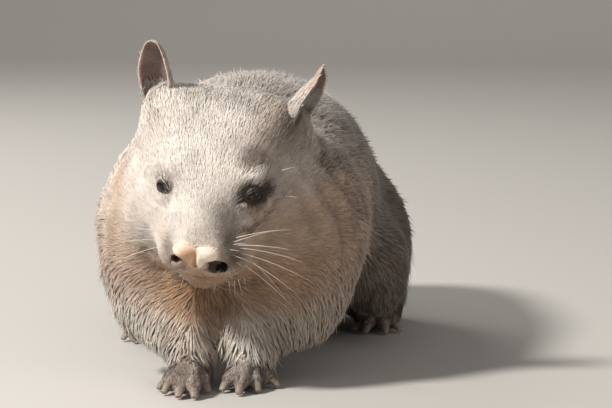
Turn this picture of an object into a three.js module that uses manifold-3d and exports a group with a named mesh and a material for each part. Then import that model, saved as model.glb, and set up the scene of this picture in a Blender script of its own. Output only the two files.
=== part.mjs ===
// A southern hairy-nosed wombat, life size, crouched on its four feet with its head low.
// Millimetres, +Z up. The nose points along -Y and the animal's left side is on +X.
// The outlines run out to the tips of the short coat.
import * as THREE from "three";
import Module from "manifold-3d";

const wasm = await Module();
wasm.setup();

// Driving dimensions
const CLEARANCE = 0.35; // between pieces that touch
const BACK_HEIGHT = 306; // floor to the top of the back
const BODY_HALF_WIDTH = 139;
const BELLY_HEIGHT = 28; // floor to the belly
const BELLY_Y = 305; // where the barrel is deepest
const RUMP_Y = 518;
const HEAD_PLACE = new THREE.Vector3(-8, 75, 204); // middle of the skull
const HEAD_PITCH = 27; // degrees, nose down
const HEAD_ROLL = 6; // degrees, left side lower
const HEAD_YAW = 2; // degrees, towards the right side
const HEAD_HALF_WIDTH = 102; // over the cheeks
const EYE_RADIUS = 9;
const EYE_X = 48;
const EYE_Z = 30; // above the middle of the skull
const LID = 3; // thickness of an eyelid
const EAR_LENGTH = 86;
const EAR_WIDTH = 39;
const EAR_WALL = 4;
const MOUTH_HALF_WIDTH = 59;
const MOUTH_Z = -56;
const MOUTH_RISE = 5; // corners of the mouth above its middle
const LIP_LINE = 2.2; // half width of the line between the lips
const WRIST_HEIGHT = 38; // where a forefoot is parted from its leg
const ANKLE_HEIGHT = 42;
const TOE_RADIUS = 9.5;
const CLAW_LENGTH = 24;
const CLAW_WIDTH = 12;
const CLAW_DEPTH = 8.4;
const CLAW_ROOT = 6; // length of a claw inside its toe
const TAIL_LENGTH = 30;

// Spacing of the skin's points
const BODY_STEP = 28;
const LEG_STEP = 21;
const HEAD_STEP = 11.1;
const FOOT_STEP = 12;
const NOSE_STEP = 4.8;

const SIDES = [
  { name: "right", sign: -1 },
  { name: "left", sign: 1 },
];

const COLOURS = {
  torso: "#8a7b6e",
  neck: "#a8957f",
  head: "#cbb8a0",
  nose: "#d3b195",
  eye: "#150e0a",
  ear: "#948882",
  foreleg: "#bda889",
  forefoot: "#94836f",
  hindleg: "#6f6055",
  hindfoot: "#7b6c60",
  tail: "#7a6b5f",
  claw: "#8b7f76",
};

const radians = THREE.MathUtils.degToRad;
const vec = (x, y, z) => new THREE.Vector3(x, y, z);

// A form is a function of x, y and z that is negative inside and grows with the distance outside.
function egg(centre, radii, turn = [0, 0, 0]) {
  const [cx, cy, cz] = centre;
  const [rx, ry, rz] = radii;
  const back = new THREE.Matrix4().makeRotationFromEuler(new THREE.Euler(...turn.map(radians))).transpose();
  const m = back.elements;
  return (x, y, z) => {
    const a = x - cx;
    const b = y - cy;
    const c = z - cz;
    const u = (m[0] * a + m[4] * b + m[8] * c) / rx;
    const v = (m[1] * a + m[5] * b + m[9] * c) / ry;
    const w = (m[2] * a + m[6] * b + m[10] * c) / rz;
    const near = Math.hypot(u, v, w);
    return (near * (near - 1)) / Math.max(Math.hypot(u / rx, v / ry, w / rz), 1e-9);
  };
}

// A round limb that tapers from radius ra at a to radius rb at b.
function limb(a, b, ra, rb) {
  const along = [b[0] - a[0], b[1] - a[1], b[2] - a[2]];
  const square = along[0] ** 2 + along[1] ** 2 + along[2] ** 2;
  return (x, y, z) => {
    const p = [x - a[0], y - a[1], z - a[2]];
    const raw = (p[0] * along[0] + p[1] * along[1] + p[2] * along[2]) / square;
    const t = Math.min(1, Math.max(0, raw));
    return Math.hypot(p[0] - along[0] * t, p[1] - along[1] * t, p[2] - along[2] * t) - (ra + (rb - ra) * t);
  };
}

// Forms melted into each other over the distance soft.
function melt(soft, ...forms) {
  return (x, y, z) =>
    forms.reduce((sum, form) => {
      const next = form(x, y, z);
      const overlap = Math.max(soft - Math.abs(sum - next), 0) / soft;
      return Math.min(sum, next) - (overlap * overlap * soft) / 4;
    }, Infinity);
}

// A form with others pressed into it, with soft edges.
function press(soft, form, ...tools) {
  return (x, y, z) =>
    tools.reduce((sum, tool) => {
      const next = -tool(x, y, z);
      const overlap = Math.max(soft - Math.abs(sum - next), 0) / soft;
      return Math.max(sum, next) + (overlap * overlap * soft) / 4;
    }, form(x, y, z));
}

const bothSides = (form) => (x, y, z) => form(Math.abs(x), y, z);

// A form that is drawn in its own frame and stands in the world by a matrix.
function placed(form, matrix) {
  const m = matrix.clone().invert().elements;
  return (x, y, z) =>
    form(
      m[0] * x + m[4] * y + m[8] * z + m[12],
      m[1] * x + m[5] * y + m[9] * z + m[13],
      m[2] * x + m[6] * y + m[10] * z + m[14],
    );
}

// The first point of a form that is met from start along a direction.
function meet(form, start, direction) {
  const p = start.clone();
  for (let turn = 0; turn < 80; turn++) {
    const gap = form(p.x, p.y, p.z);
    if (gap < 0.02) break;
    p.addScaledVector(direction, Math.max(gap * 0.7, 0.02));
  }
  return p;
}

// The skin of a form as a closed mesh: one point in each cell that the surface crosses, moved
// onto the surface, and two triangles for each grid edge that pierces it.
function skinOf(form, low, high, step) {
  const count = [0, 1, 2].map((k) => Math.ceil((high[k] - low[k]) / step) + 1);
  const index = (i, j, k) => (k * count[1] + j) * count[0] + i;
  const value = new Float64Array(count[0] * count[1] * count[2]);
  const outermost = (...cell) => cell.some((n, d) => n === 0 || n === count[d] - 1);
  for (let k = 0; k < count[2]; k++)
    for (let j = 0; j < count[1]; j++)
      for (let i = 0; i < count[0]; i++) {
        const near = form(low[0] + i * step, low[1] + j * step, low[2] + k * step);
        value[index(i, j, k)] = outermost(i, j, k) ? Math.max(near, step / 4) : near;
      }

  const corners = [0, 1, 2, 3, 4, 5, 6, 7].map((c) => [c & 1, (c >> 1) & 1, c >> 2]);
  const edges = [];
  for (let a = 0; a < 8; a++) for (const bit of [1, 2, 4]) if (!(a & bit)) edges.push([a, a | bit]);
  const points = [];
  const pointOf = new Int32Array(value.length).fill(-1);
  for (let k = 0; k < count[2] - 1; k++)
    for (let j = 0; j < count[1] - 1; j++)
      for (let i = 0; i < count[0] - 1; i++) {
        const at = corners.map(([a, b, c]) => value[index(i + a, j + b, k + c)]);
        const crossed = edges.filter(([a, b]) => at[a] < 0 !== at[b] < 0);
        if (!crossed.length) continue;
        const middle = [0, 0, 0];
        for (const [a, b] of crossed) {
          const t = at[a] / (at[a] - at[b]);
          for (let d = 0; d < 3; d++)
            middle[d] += (corners[a][d] + (corners[b][d] - corners[a][d]) * t) / crossed.length;
        }
        const cell = [i, j, k];
        pointOf[index(i, j, k)] = points.length;
        points.push(ontoSkin(form, cell.map((n, d) => low[d] + (n + middle[d]) * step), step));
      }

  const faces = [];
  const addQuad = (a, b, c, d) => {
    const across = (p, q) => Math.hypot(...points[p].map((v, n) => v - points[q][n]));
    if (across(a, c) <= across(b, d)) faces.push([a, b, c], [a, c, d]);
    else faces.push([b, c, d], [b, d, a]);
  };
  for (let k = 0; k < count[2] - 1; k++)
    for (let j = 0; j < count[1] - 1; j++)
      for (let i = 0; i < count[0] - 1; i++)
        for (let axis = 0; axis < 3; axis++) {
          if ([i, j, k].some((n, d) => d !== axis && n === 0)) continue;
          const here = value[index(i, j, k)] < 0;
          const next = [i, j, k].map((n, d) => n + (d === axis ? 1 : 0));
          const there = value[index(...next)] < 0;
          if (here === there) continue;
          const around = [
            [0, 0],
            [-1, 0],
            [-1, -1],
            [0, -1],
          ].map(([a, b]) => {
            const cell = [i, j, k];
            cell[(axis + 1) % 3] += a;
            cell[(axis + 2) % 3] += b;
            return pointOf[index(...cell)];
          });
          if (!here) around.reverse();
          addQuad(...around);
        }
  return toGeometry(points.flat(), faces.flat());
}

function ontoSkin(form, start, step) {
  const p = [...start];
  const e = 0.4;
  for (let turn = 0; turn < 3; turn++) {
    const f = form(...p);
    const slope = [
      form(p[0] + e, p[1], p[2]) - form(p[0] - e, p[1], p[2]),
      form(p[0], p[1] + e, p[2]) - form(p[0], p[1] - e, p[2]),
      form(p[0], p[1], p[2] + e) - form(p[0], p[1], p[2] - e),
    ].map((s) => s / (2 * e));
    const square = slope[0] ** 2 + slope[1] ** 2 + slope[2] ** 2;
    if (square < 1e-6) break;
    for (let d = 0; d < 3; d++) {
      const move = (f * slope[d]) / square;
      p[d] -= Math.max(-step * 0.25, Math.min(step * 0.25, move));
    }
  }
  return p;
}

// Meshes and solids
function toGeometry(positions, triangles) {
  return new THREE.BufferGeometry()
    .setAttribute("position", new THREE.Float32BufferAttribute(positions, 3))
    .setIndex(triangles);
}

function solid(geometry) {
  return new wasm.Manifold(
    new wasm.Mesh({
      numProp: 3,
      vertProperties: new Float32Array(geometry.attributes.position.array),
      triVerts: new Uint32Array(geometry.index.array),
    }),
  );
}

// The largest closed surface of a solid.
function largest(body) {
  return body.decompose().reduce((best, next) => (next.volume() > best.volume() ? next : best));
}

function geometryOf(body) {
  const mesh = body.getMesh();
  return toGeometry(Array.from(mesh.vertProperties), Array.from(mesh.triVerts));
}

const pose = (centre, turn, scale) =>
  new THREE.Matrix4().compose(
    vec(...centre),
    new THREE.Quaternion().setFromEuler(new THREE.Euler(...turn.map(radians))),
    vec(...scale),
  );

// A ball with its poles and seam closed, stretched, turned and moved.
function ball(centre, radii, turn = [0, 0, 0], across = 20, down = 12) {
  const points = [0, 0, 1];
  for (let j = 1; j < down; j++)
    for (let i = 0; i < across; i++) {
      const a = (i / across) * 2 * Math.PI;
      const b = (j / down) * Math.PI;
      points.push(Math.sin(b) * Math.cos(a), Math.sin(b) * Math.sin(a), Math.cos(b));
    }
  points.push(0, 0, -1);
  const last = points.length / 3 - 1;
  const ring = (j, i) => 1 + j * across + (i % across);
  const faces = [];
  for (let i = 0; i < across; i++) {
    faces.push(0, ring(0, i), ring(0, i + 1));
    for (let j = 0; j < down - 2; j++) {
      faces.push(ring(j, i), ring(j + 1, i), ring(j + 1, i + 1));
      faces.push(ring(j, i), ring(j + 1, i + 1), ring(j, i + 1));
    }
    faces.push(last, ring(down - 2, i + 1), ring(down - 2, i));
  }
  return toGeometry(points, faces).applyMatrix4(pose(centre, turn, radii));
}

// A box by its middle, sizes and turn.
function block(centre, sizes, turn = [0, 0, 0]) {
  const [a, b, c] = sizes.map((s) => s / 2);
  const points = [];
  for (const z of [-c, c]) for (const y of [-b, b]) for (const x of [-a, a]) points.push(x, y, z);
  const faces = [0, 2, 1, 1, 2, 3, 4, 5, 6, 5, 7, 6, 0, 1, 4, 1, 5, 4];
  faces.push(2, 6, 3, 3, 6, 7, 0, 4, 2, 2, 4, 6, 1, 3, 5, 3, 7, 5);
  return toGeometry(points, faces).applyMatrix4(pose(centre, turn, [1, 1, 1]));
}

// A closed body through rings of points, with both ends capped from their middles.
function loft(rings) {
  const sides = rings[0].length;
  const points = rings.flat().flatMap((p) => [p.x, p.y, p.z]);
  const faces = [];
  for (let r = 0; r < rings.length - 1; r++)
    for (let i = 0; i < sides; i++) {
      const a = r * sides + i;
      const b = r * sides + ((i + 1) % sides);
      faces.push(a, b, b + sides, a, b + sides, a + sides);
    }
  for (const end of [0, rings.length - 1]) {
    const middle = rings[end].reduce((sum, p) => sum.add(p), vec(0, 0, 0)).divideScalar(sides);
    const centre = points.length / 3;
    points.push(middle.x, middle.y, middle.z);
    for (let i = 0; i < sides; i++) {
      const a = end * sides + i;
      const b = end * sides + ((i + 1) % sides);
      faces.push(...(end ? [a, b, centre] : [b, a, centre]));
    }
  }
  return toGeometry(points, faces);
}

// Rings round a path. size(t) gives the half sizes across and up, and puff adds to all of them.
function along(path, size, sides, steps, puff = 0) {
  const rings = [];
  for (let s = 0; s <= steps; s++) {
    const t = s / steps;
    const forward = path.getTangent(t);
    const across = vec(0, 0, 1).cross(forward);
    if (across.lengthSq() < 1e-6) across.set(1, 0, 0);
    across.normalize();
    const up = forward.clone().cross(across);
    const centre = path.getPoint(t);
    if (s === 0) centre.addScaledVector(forward, -puff);
    if (s === steps) centre.addScaledVector(forward, puff);
    const [wide, high] = size(t);
    rings.push(
      Array.from({ length: sides }, (_, i) => {
        const a = (i / sides) * 2 * Math.PI;
        return centre
          .clone()
          .addScaledVector(across, Math.cos(a) * (wide + puff))
          .addScaledVector(up, Math.sin(a) * (high + puff));
      }),
    );
  }
  return loft(rings);
}

// The head, in its own frame: its middle at the origin, nose along -Y, level
const headPlace = new THREE.Matrix4().compose(
  HEAD_PLACE,
  new THREE.Quaternion().setFromEuler(
    new THREE.Euler(radians(HEAD_PITCH), radians(HEAD_ROLL), radians(-HEAD_YAW), "ZYX"),
  ),
  vec(1, 1, 1),
);

const NOSE = [0, -96, -17];
const EAR_ROOT = [66, 46, 52];
const EAR_CUT = 22; // an ear is parted this far above its root
const CHEEK_X = 52;

// The ears stand up, lean outwards and turn their cups forwards (right) or sideways (left).
const EARS = {
  right: { lean: 14, back: 0, turn: 24 },
  left: { lean: 29, back: -2, turn: 62 },
};

function nosePad() {
  const lobes = bothSides(egg([13, -95, -15], [16, 13, 17]));
  const wings = bothSides(egg([21, -91, -33], [11, 10, 8], [0, -12, 0]));
  const groove = limb([0, -113, -6], [0, -106, -38], 5, 5.5);
  const nostrils = bothSides(egg([21, -104, -24], [8.5, 13, 5], [0, 24, 0]));
  return press(2.5, press(5, melt(7, lobes, wings), groove), nostrils);
}

function skullForm() {
  const skull = melt(
    30,
    egg([0, 26, 14], [86, 84, 62]),
    egg([0, 50, 29], [66, 56, 57]), // crown, between the ears
    bothSides(egg([CHEEK_X, 18, -22], [HEAD_HALF_WIDTH - CHEEK_X, 66, 52])),
    egg([0, -34, -2], [60, 54, 40]),
  );
  const snout = melt(
    16,
    egg([0, -68, -15], [37, 30, 25]),
    bothSides(egg([21, -72, -33], [23, 25, 19])), // whisker pads
    limb([0, -66, -52], [0, 0, -54], 21, 42), // lower jaw
  );
  const brow = bothSides(egg([EYE_X - 4, -30, 42], [20, 13, 8], [24, 18, 0]));
  const earRoot = bothSides(limb([56, 40, 40], EAR_ROOT, 32, 20));
  return melt(16, melt(24, skull, snout, earRoot), brow);
}

const skull = skullForm();
const headForm = melt(5, skull, nosePad());
const EYE_OUT = vec(0.5, -0.84, 0.2).normalize(); // the way that the left eye looks
const eyeSkin = meet(skull, vec(EYE_X, -160, EYE_Z), vec(0, 1, 0));
const EYE_PLACE = eyeSkin.addScaledVector(EYE_OUT, -EYE_RADIUS + 1.5);

// Trunk and limbs, in the world
const SHOULDER = [92, 140, 158];
const ELBOW = [84, 128, 76];
const KNEE = [134, 366, 84];
const TAIL_ROOT = [0, 640, 110];

// A foot: the middle of its palm, and its toes from the outer to the inner, each by its angle
// outwards from straight ahead and the reach of its claw tip.
const FORE_FEET = {
  right: { palm: [-33, 50], toes: [[54, 38], [26, 50], [4, 67], [-10, 70], [-32, 42]] },
  left: { palm: [25, 62], toes: [[76, 33], [20, 41], [-4, 56], [-31, 45], [-50, 31]] },
};
const HIND_FEET = {
  right: { palm: [-118, 362], toes: [[40, 41], [14, 48], [-14, 48], [-40, 40]] },
  left: { palm: [134, 446], toes: [[40, 41], [14, 48], [-14, 48], [-40, 40]] },
};
const CLAW_TIP_Z = 1.6;
const CLAW_ROOT_Z = 12.5;

// Where a claw leaves its toe, and where it ends.
function clawEnds({ palm, toes }, sign, toe) {
  const [angle, reach] = toes[toe];
  const out = vec(sign * Math.sin(radians(angle)), -Math.cos(radians(angle)), 0);
  const middle = vec(palm[0], palm[1], 0);
  const visible = CLAW_LENGTH - CLAW_ROOT;
  const tip = middle.clone().addScaledVector(out, reach).setZ(CLAW_TIP_Z);
  const root = middle.clone().addScaledVector(out, reach - visible * 0.86).setZ(CLAW_ROOT_Z);
  return { middle, out, tip, root };
}

// A toe runs from inside the palm to a round end over the root of its claw.
function toeBody(foot, sign, toe) {
  const { middle, out, root } = clawEnds(foot, sign, toe);
  const knuckle = middle.clone().addScaledVector(out, 4).setZ(17);
  const end = root.clone().addScaledVector(out, 5);
  const size = (t) => {
    const round = t > 0.8 ? 0.68 : 1;
    return [TOE_RADIUS * round, TOE_RADIUS * 0.92 * round];
  };
  const bend = root.clone().lerp(knuckle, 0.4).setZ(17);
  return along(new THREE.CatmullRomCurve3([knuckle, bend, end]), size, 6, 3);
}

function foreFootForm({ name }) {
  const [x, y] = FORE_FEET[name].palm;
  return egg([x, y - 4, 12], [25, 28, 18]);
}

function hindFootForm({ name }) {
  const [x, y] = HIND_FEET[name].palm;
  return melt(18, egg([x, y, 12], [27, 30, 18]), egg([x, y + 58, 14], [24, 44, 22]));
}

function foreLegForm({ name, sign }) {
  const [x, y] = FORE_FEET[name].palm;
  const elbow = [sign * ELBOW[0] - 4, ELBOW[1], ELBOW[2]];
  const upper = limb([sign * SHOULDER[0], SHOULDER[1], SHOULDER[2]], elbow, 52, 42);
  const lower = limb(elbow, [x + sign * 2, y + 5, 40], 40, 23);
  return melt(16, upper, lower, limb([x, y + 5, 40], [x, y, 24], 23, 20));
}

function hindLegForm({ name, sign }) {
  const [x, y] = HIND_FEET[name].palm;
  return melt(
    30,
    egg([sign * 98, 476, 102], [75, 118, 86]),
    egg([sign * KNEE[0], KNEE[1], KNEE[2]], [46, 60, 58]),
    limb([x - sign * 10, y + 70, 64], [x, y + 64, 30], 40, 27),
    limb([x - sign * 4, y + 20, 62], [x, y + 14, 30], 34, 27),
  );
}

function trunkForm() {
  const deep = (BACK_HEIGHT - BELLY_HEIGHT) / 2;
  return melt(
    60,
    egg([3, BELLY_Y, BELLY_HEIGHT + deep], [BODY_HALF_WIDTH, 215, deep]),
    egg([0, 414, 150], [118, 150, 128]),
    egg([0, RUMP_Y, 150], [120, 140, 124]),
    egg([-2, 184, 154], [112, 112, 108]),
    bothSides(egg([SHOULDER[0] - 6, 142, 158], [48, 72, 82])),
  );
}

const headSkin = placed(headForm, headPlace);
const neckForm = limb([-6, 172, 190], [0, 240, 176], 98, 124);
const chestForm = egg([-6, 120, 98], [62, 66, 58]);
const trunk = melt(26, headSkin, melt(30, neckForm, trunkForm(), chestForm));
const foreLegs = SIDES.map((side) => melt(26, trunk, melt(10, foreLegForm(side), foreFootForm(side))));
const hindLegs = SIDES.map((side) => melt(26, trunk, melt(10, hindLegForm(side), hindFootForm(side))));
const bodySkin = melt(2, ...foreLegs, ...hindLegs);

// The short tail hangs from the rump
function tailBody() {
  const path = new THREE.CatmullRomCurve3([
    vec(0, TAIL_ROOT[1] - 10, TAIL_ROOT[2] + 6),
    vec(0, TAIL_ROOT[1] + TAIL_LENGTH * 0.5, TAIL_ROOT[2] - TAIL_LENGTH * 0.3),
    vec(0, TAIL_ROOT[1] + TAIL_LENGTH * 0.8, TAIL_ROOT[2] - TAIL_LENGTH * 0.8),
  ]);
  return along(path, (t) => [19 - 9 * t ** 2, 17 - 9 * t ** 2], 9, 4);
}

// Where the whole skin is parted. Each region is a solid, and a puffed one keeps the clearance.
const headRegion = (puff) =>
  ball([0, -24, 20], [172, 122, 116].map((r) => r + puff), [0, 0, 0], 18, 10).applyMatrix4(headPlace);
const NOSE_BALL = [NOSE[0], NOSE[1] - 2, NOSE[2] - 2]; // the pad is parted by this ball
const NOSE_HALF = [36, 21, 26];
const noseRegion = (puff) =>
  ball(NOSE_BALL, NOSE_HALF.map((r) => r + puff), [0, 0, 0], 16, 10).applyMatrix4(headPlace);
const neckRegion = (puff) => block([-4, 42, 250], [420, 200 + 2 * puff, 340 + 2 * puff], [-24, 0, 0]);
const tailRegion = (puff) =>
  ball([0, TAIL_ROOT[1] + 32, TAIL_ROOT[2] - 18], [30, 22, 40].map((r) => r + puff), [0, 0, 0], 12, 8);

// The forelegs' regions end at the plane between the two feet.
const FEET_MIDDLE = -4;

function foreLegRegion({ name, sign }, puff) {
  const [x, y] = FORE_FEET[name].palm;
  const shoulder = vec(sign * 112, 148, 222);
  const wrist = vec(x, y - 2, 8);
  const size = (t) => [66, 62].map((r) => r * Math.max(0.06, (1 - Math.abs(2 * t - 1) ** 2.4) ** 0.5));
  const round = solid(along(new THREE.LineCurve3(shoulder, wrist), size, 14, 8, puff));
  const half = solid(block([FEET_MIDDLE + sign * (150 + CLEARANCE / 2 - puff), 100, 120], [300, 400, 400]));
  return round.intersect(half);
}

const hindLegRegion = ({ sign }, puff) =>
  solid(ball([sign * 124, 440, 84], [86, 158, 122].map((r) => r + puff), [0, sign * 8, 0], 18, 10));

// A forefoot is parted by a level cut at the wrist and upright ones round its palm, a hindfoot by a
// level cut at the ankle and an oval upright one round its sole.
const FORE_CUT = { height: WRIST_HEIGHT, inner: 29, outer: 60, ahead: 90, behind: 32 };
const HIND_CUT = { height: ANKLE_HEIGHT, inner: 42, outer: 42, ahead: 74, behind: 112 };

function footRegion(foot, cut, sign, puff) {
  const { height, inner, outer, ahead, behind } = cut;
  const [x, y] = foot.palm;
  if (cut === HIND_CUT) {
    const middleY = y + (behind - ahead) / 2;
    const path = new THREE.LineCurve3(vec(x, middleY, -60), vec(x, middleY, height));
    return solid(along(path, () => [inner, (ahead + behind) / 2], 22, 2, puff));
  }
  const middle = [x + (sign * (outer - inner)) / 2, y + (behind - ahead) / 2, (height + puff) / 2 - 30];
  return solid(block(middle, [outer + inner + 2 * puff, ahead + behind + 2 * puff, height + puff + 60]));
}

function eyeBall(sign, puff) {
  const [x, y, z] = EYE_PLACE.toArray();
  return ball([sign * x, y, z], [1, 1, 1].map(() => EYE_RADIUS + puff), [90, 0, 0], 12, 8);
}

// The slit between the lids
function eyeSlit(sign) {
  const { x, y, z } = EYE_PLACE.clone().addScaledVector(EYE_OUT, EYE_RADIUS + 1);
  const yaw = -Math.atan2(EYE_OUT.x, -EYE_OUT.y) * THREE.MathUtils.RAD2DEG;
  return ball([sign * x, y, z], [8.6, 7, 5], [0, 8 * sign, -yaw * sign], 10, 6);
}

function lidBall(sign) {
  const [x, y, z] = EYE_PLACE.toArray();
  return ball([sign * x, y, z], [1.12, 1, 0.98].map((k) => (EYE_RADIUS + LID) * k), [90, 0, 0], 12, 8);
}

// The line between the lips, laid on the skin from corner to corner, and the split of the upper lip.
function lipLines() {
  const mouth = [];
  for (let n = 0; n <= 12; n++) {
    const across = -1 + n / 6;
    const z = MOUTH_Z + MOUTH_RISE * across * across;
    mouth.push(meet(skull, vec(across * MOUTH_HALF_WIDTH, -160, z), vec(0, 1, 0)));
  }
  const split = [0, 1, 2].map((n) => meet(skull, vec(0, -160, MOUTH_Z + 1 + n * 5), vec(0, 1, 0)));
  const size = () => [LIP_LINE, LIP_LINE];
  return [
    along(new THREE.CatmullRomCurve3(mouth), size, 5, 14),
    along(new THREE.CatmullRomCurve3(split), () => [LIP_LINE * 0.8, LIP_LINE * 0.8], 5, 3),
  ];
}

// An ear: a leaf rolled into a cup, in its own frame with its root at the origin, its length
// along +Z and its opening towards -Y.
function earShell() {
  const halfWidth = (t) => {
    const open = 0.66 + 0.34 * Math.sin((Math.PI / 2) * Math.min(t / 0.45, 1));
    const close = Math.sqrt(Math.max(0, 1 - (Math.max(0, t - 0.42) / 0.585) ** 2.2));
    return (EAR_WIDTH / 2) * open * close;
  };
  const rings = [];
  const heights = [-0.1, 0.16, 0.4, 0.62, 0.8, 0.93, 1];
  for (const t of heights) {
    const wide = Math.max(halfWidth(Math.max(t, 0)), 2.4);
    const deep = wide * 0.72;
    const roll = radians(112 - 34 * Math.max(t, 0)); // how far the edges roll forwards
    const wall = EAR_WALL * (1 - 0.4 * Math.max(t, 0)) * Math.min(1, wide / 7);
    const arc = (cut) =>
      Array.from({ length: 7 }, (_, i) => {
        const a = roll * (1 - i / 3);
        const lean = 5 * t * t; // the tip bends back
        return vec((wide - cut) * Math.sin(a), (deep - cut) * Math.cos(a) + lean, EAR_LENGTH * t);
      });
    rings.push([...arc(0), ...arc(wall).reverse()]);
  }
  return loft(rings);
}

function earPlace({ name, sign }) {
  const { lean, back, turn } = EARS[name];
  const euler = new THREE.Euler(radians(-back), radians(sign * lean), radians(sign * turn), "XYZ");
  return new THREE.Matrix4()
    .makeTranslation(sign * EAR_ROOT[0], EAR_ROOT[1], EAR_ROOT[2])
    .multiply(new THREE.Matrix4().makeRotationFromEuler(euler));
}

const EAR_BOX = [52, 52, 140];
const earRegion = (side, puff) =>
  block([0, 0, EAR_CUT - puff + EAR_BOX[2] / 2], EAR_BOX)
    .applyMatrix4(earPlace(side))
    .applyMatrix4(headPlace);

// A claw curves down from inside its toe to its blunt tip.
function claw(foot, sign, toe, puff = 0) {
  const { out, tip, root } = clawEnds(foot, sign, toe);
  const inside = root.clone().addScaledVector(out, -CLAW_ROOT).setZ(CLAW_ROOT_Z + 1);
  const bend = root.clone().lerp(tip, 0.55).setZ(CLAW_ROOT_Z - 3.2);
  const path = new THREE.CatmullRomCurve3([inside, root, bend, tip.clone().setZ(CLAW_TIP_Z + 1.6)]);
  const size = (t) => {
    const slim = (0.8 + 0.2 * Math.min(1, 3 * t)) * (1 - 0.5 * t ** 2);
    return [(CLAW_WIDTH / 2) * slim, (CLAW_DEPTH / 2) * slim];
  };
  return along(path, size, 6, 4, puff);
}

function buildHead(parts) {
  const headBox = new THREE.Box3(vec(-150, -150, -110), vec(150, 130, 120)).applyMatrix4(headPlace);
  const headFine = solid(skinOf(bodySkin, headBox.min.toArray(), headBox.max.toArray(), HEAD_STEP));
  let head = headFine.intersect(solid(headRegion(0)));
  const noseBox = new THREE.Box3(vec(-46, -134, -52), vec(46, -66, 20)).applyMatrix4(headPlace);
  const noseFine = solid(skinOf(bodySkin, noseBox.min.toArray(), noseBox.max.toArray(), NOSE_STEP));
  parts.set("nose", noseFine.intersect(solid(noseRegion(0))));
  head = head.subtract(solid(noseRegion(CLEARANCE)));
  for (const line of lipLines()) head = head.subtract(solid(line.applyMatrix4(headPlace)));
  for (const side of SIDES) {
    const { name, sign } = side;
    head = head
      .add(solid(lidBall(sign).applyMatrix4(headPlace)))
      .subtract(solid(eyeBall(sign, CLEARANCE).applyMatrix4(headPlace)))
      .subtract(solid(eyeSlit(sign).applyMatrix4(headPlace)));
    parts.set(`eye_${name}`, solid(eyeBall(sign, 0).applyMatrix4(headPlace)));
    const withEar = head.add(solid(earShell().applyMatrix4(earPlace(side)).applyMatrix4(headPlace)));
    parts.set(`ear_${name}`, withEar.intersect(solid(earRegion(side, 0))));
    head = withEar.subtract(solid(earRegion(side, CLEARANCE)));
  }
  parts.set("head", head);
}

// A foot with its toes and claws, from a finer skin of its own
function buildFoot(parts, { name, sign }, kind, foot, cut, form, floor) {
  const [x, y] = foot.palm;
  const low = [x - 60, y - 60, -14];
  const high = [x + 60, y + cut.behind + 24, cut.height + 14];
  let body = solid(skinOf(form, low, high, FOOT_STEP));
  foot.toes.forEach((_, toe) => {
    body = body.add(solid(toeBody(foot, sign, toe)));
  });
  body = body.intersect(floor).intersect(footRegion(foot, cut, sign, 0));
  foot.toes.forEach((_, toe) => {
    body = body.subtract(solid(claw(foot, sign, toe, CLEARANCE)));
    parts.set(`claw_${kind}_${name}_${toe + 1}`, solid(claw(foot, sign, toe)));
  });
  parts.set(`${kind}foot_${name}`, body);
}

function build() {
  const parts = new Map();
  const floor = solid(block([0, 300, 300], [700, 1100, 600]));
  buildHead(parts);

  const low = [-230, -90, -30];
  const high = [230, 740, 400];
  let rest = solid(skinOf(bodySkin, low, high, BODY_STEP))
    .add(solid(tailBody()))
    .intersect(floor)
    .subtract(solid(headRegion(CLEARANCE)));
  let fine = solid(skinOf(bodySkin, low, high, LEG_STEP)).intersect(floor);
  fine = fine.subtract(solid(headRegion(CLEARANCE)));
  fine = fine.subtract(solid(neckRegion(CLEARANCE)));
  const part = (name, region, from) => {
    parts.set(name, from.intersect(region(0)));
    rest = rest.subtract(region(CLEARANCE));
  };
  part("neck", (puff) => solid(neckRegion(puff)), rest);
  part("tail", (puff) => solid(tailRegion(puff)), rest);
  SIDES.forEach((side, n) => {
    const fore = FORE_FEET[side.name];
    const hind = HIND_FEET[side.name];
    buildFoot(parts, side, "fore", fore, FORE_CUT, foreLegs[n], floor);
    buildFoot(parts, side, "hind", hind, HIND_CUT, hindLegs[n], floor);
    for (const [foot, cut] of [[fore, FORE_CUT], [hind, HIND_CUT]]) {
      const region = footRegion(foot, cut, side.sign, CLEARANCE);
      rest = rest.subtract(region);
      fine = fine.subtract(region);
    }
  });
  for (const side of SIDES) {
    part(`foreleg_${side.name}`, (puff) => foreLegRegion(side, puff), fine);
    part(`hindleg_${side.name}`, (puff) => hindLegRegion(side, puff), fine);
  }
  parts.set("torso", rest);
  return parts;
}

const group = new THREE.Group();
for (const [name, body] of build()) {
  const color = COLOURS[name.split("_")[0]];
  const rough = name.startsWith("eye") ? 0.08 : 0.85;
  const mesh = new THREE.Mesh(
    geometryOf(largest(body)),
    new THREE.MeshStandardMaterial({ color, roughness: rough, metalness: 0 }),
  );
  mesh.name = name;
  group.add(mesh);
}

// The origin is on the floor, under the middle of the body
const reach = new THREE.Box3().setFromObject(group);
const middle = reach.getCenter(vec(0, 0, 0));
group.position.set(-middle.x, -middle.y, -reach.min.z);

export default group;
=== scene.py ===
"""A still, life-size southern hairy-nosed wombat, crouched on its four feet. Metres, +Z up.

The nose points along -Y and the animal's left side is on +X. The coat is solid tufts over one skin.
"""

import math

import bmesh
import bpy
import numpy as np
from mathutils import Euler, Matrix, Vector, noise
from mathutils.bvhtree import BVHTree


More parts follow.
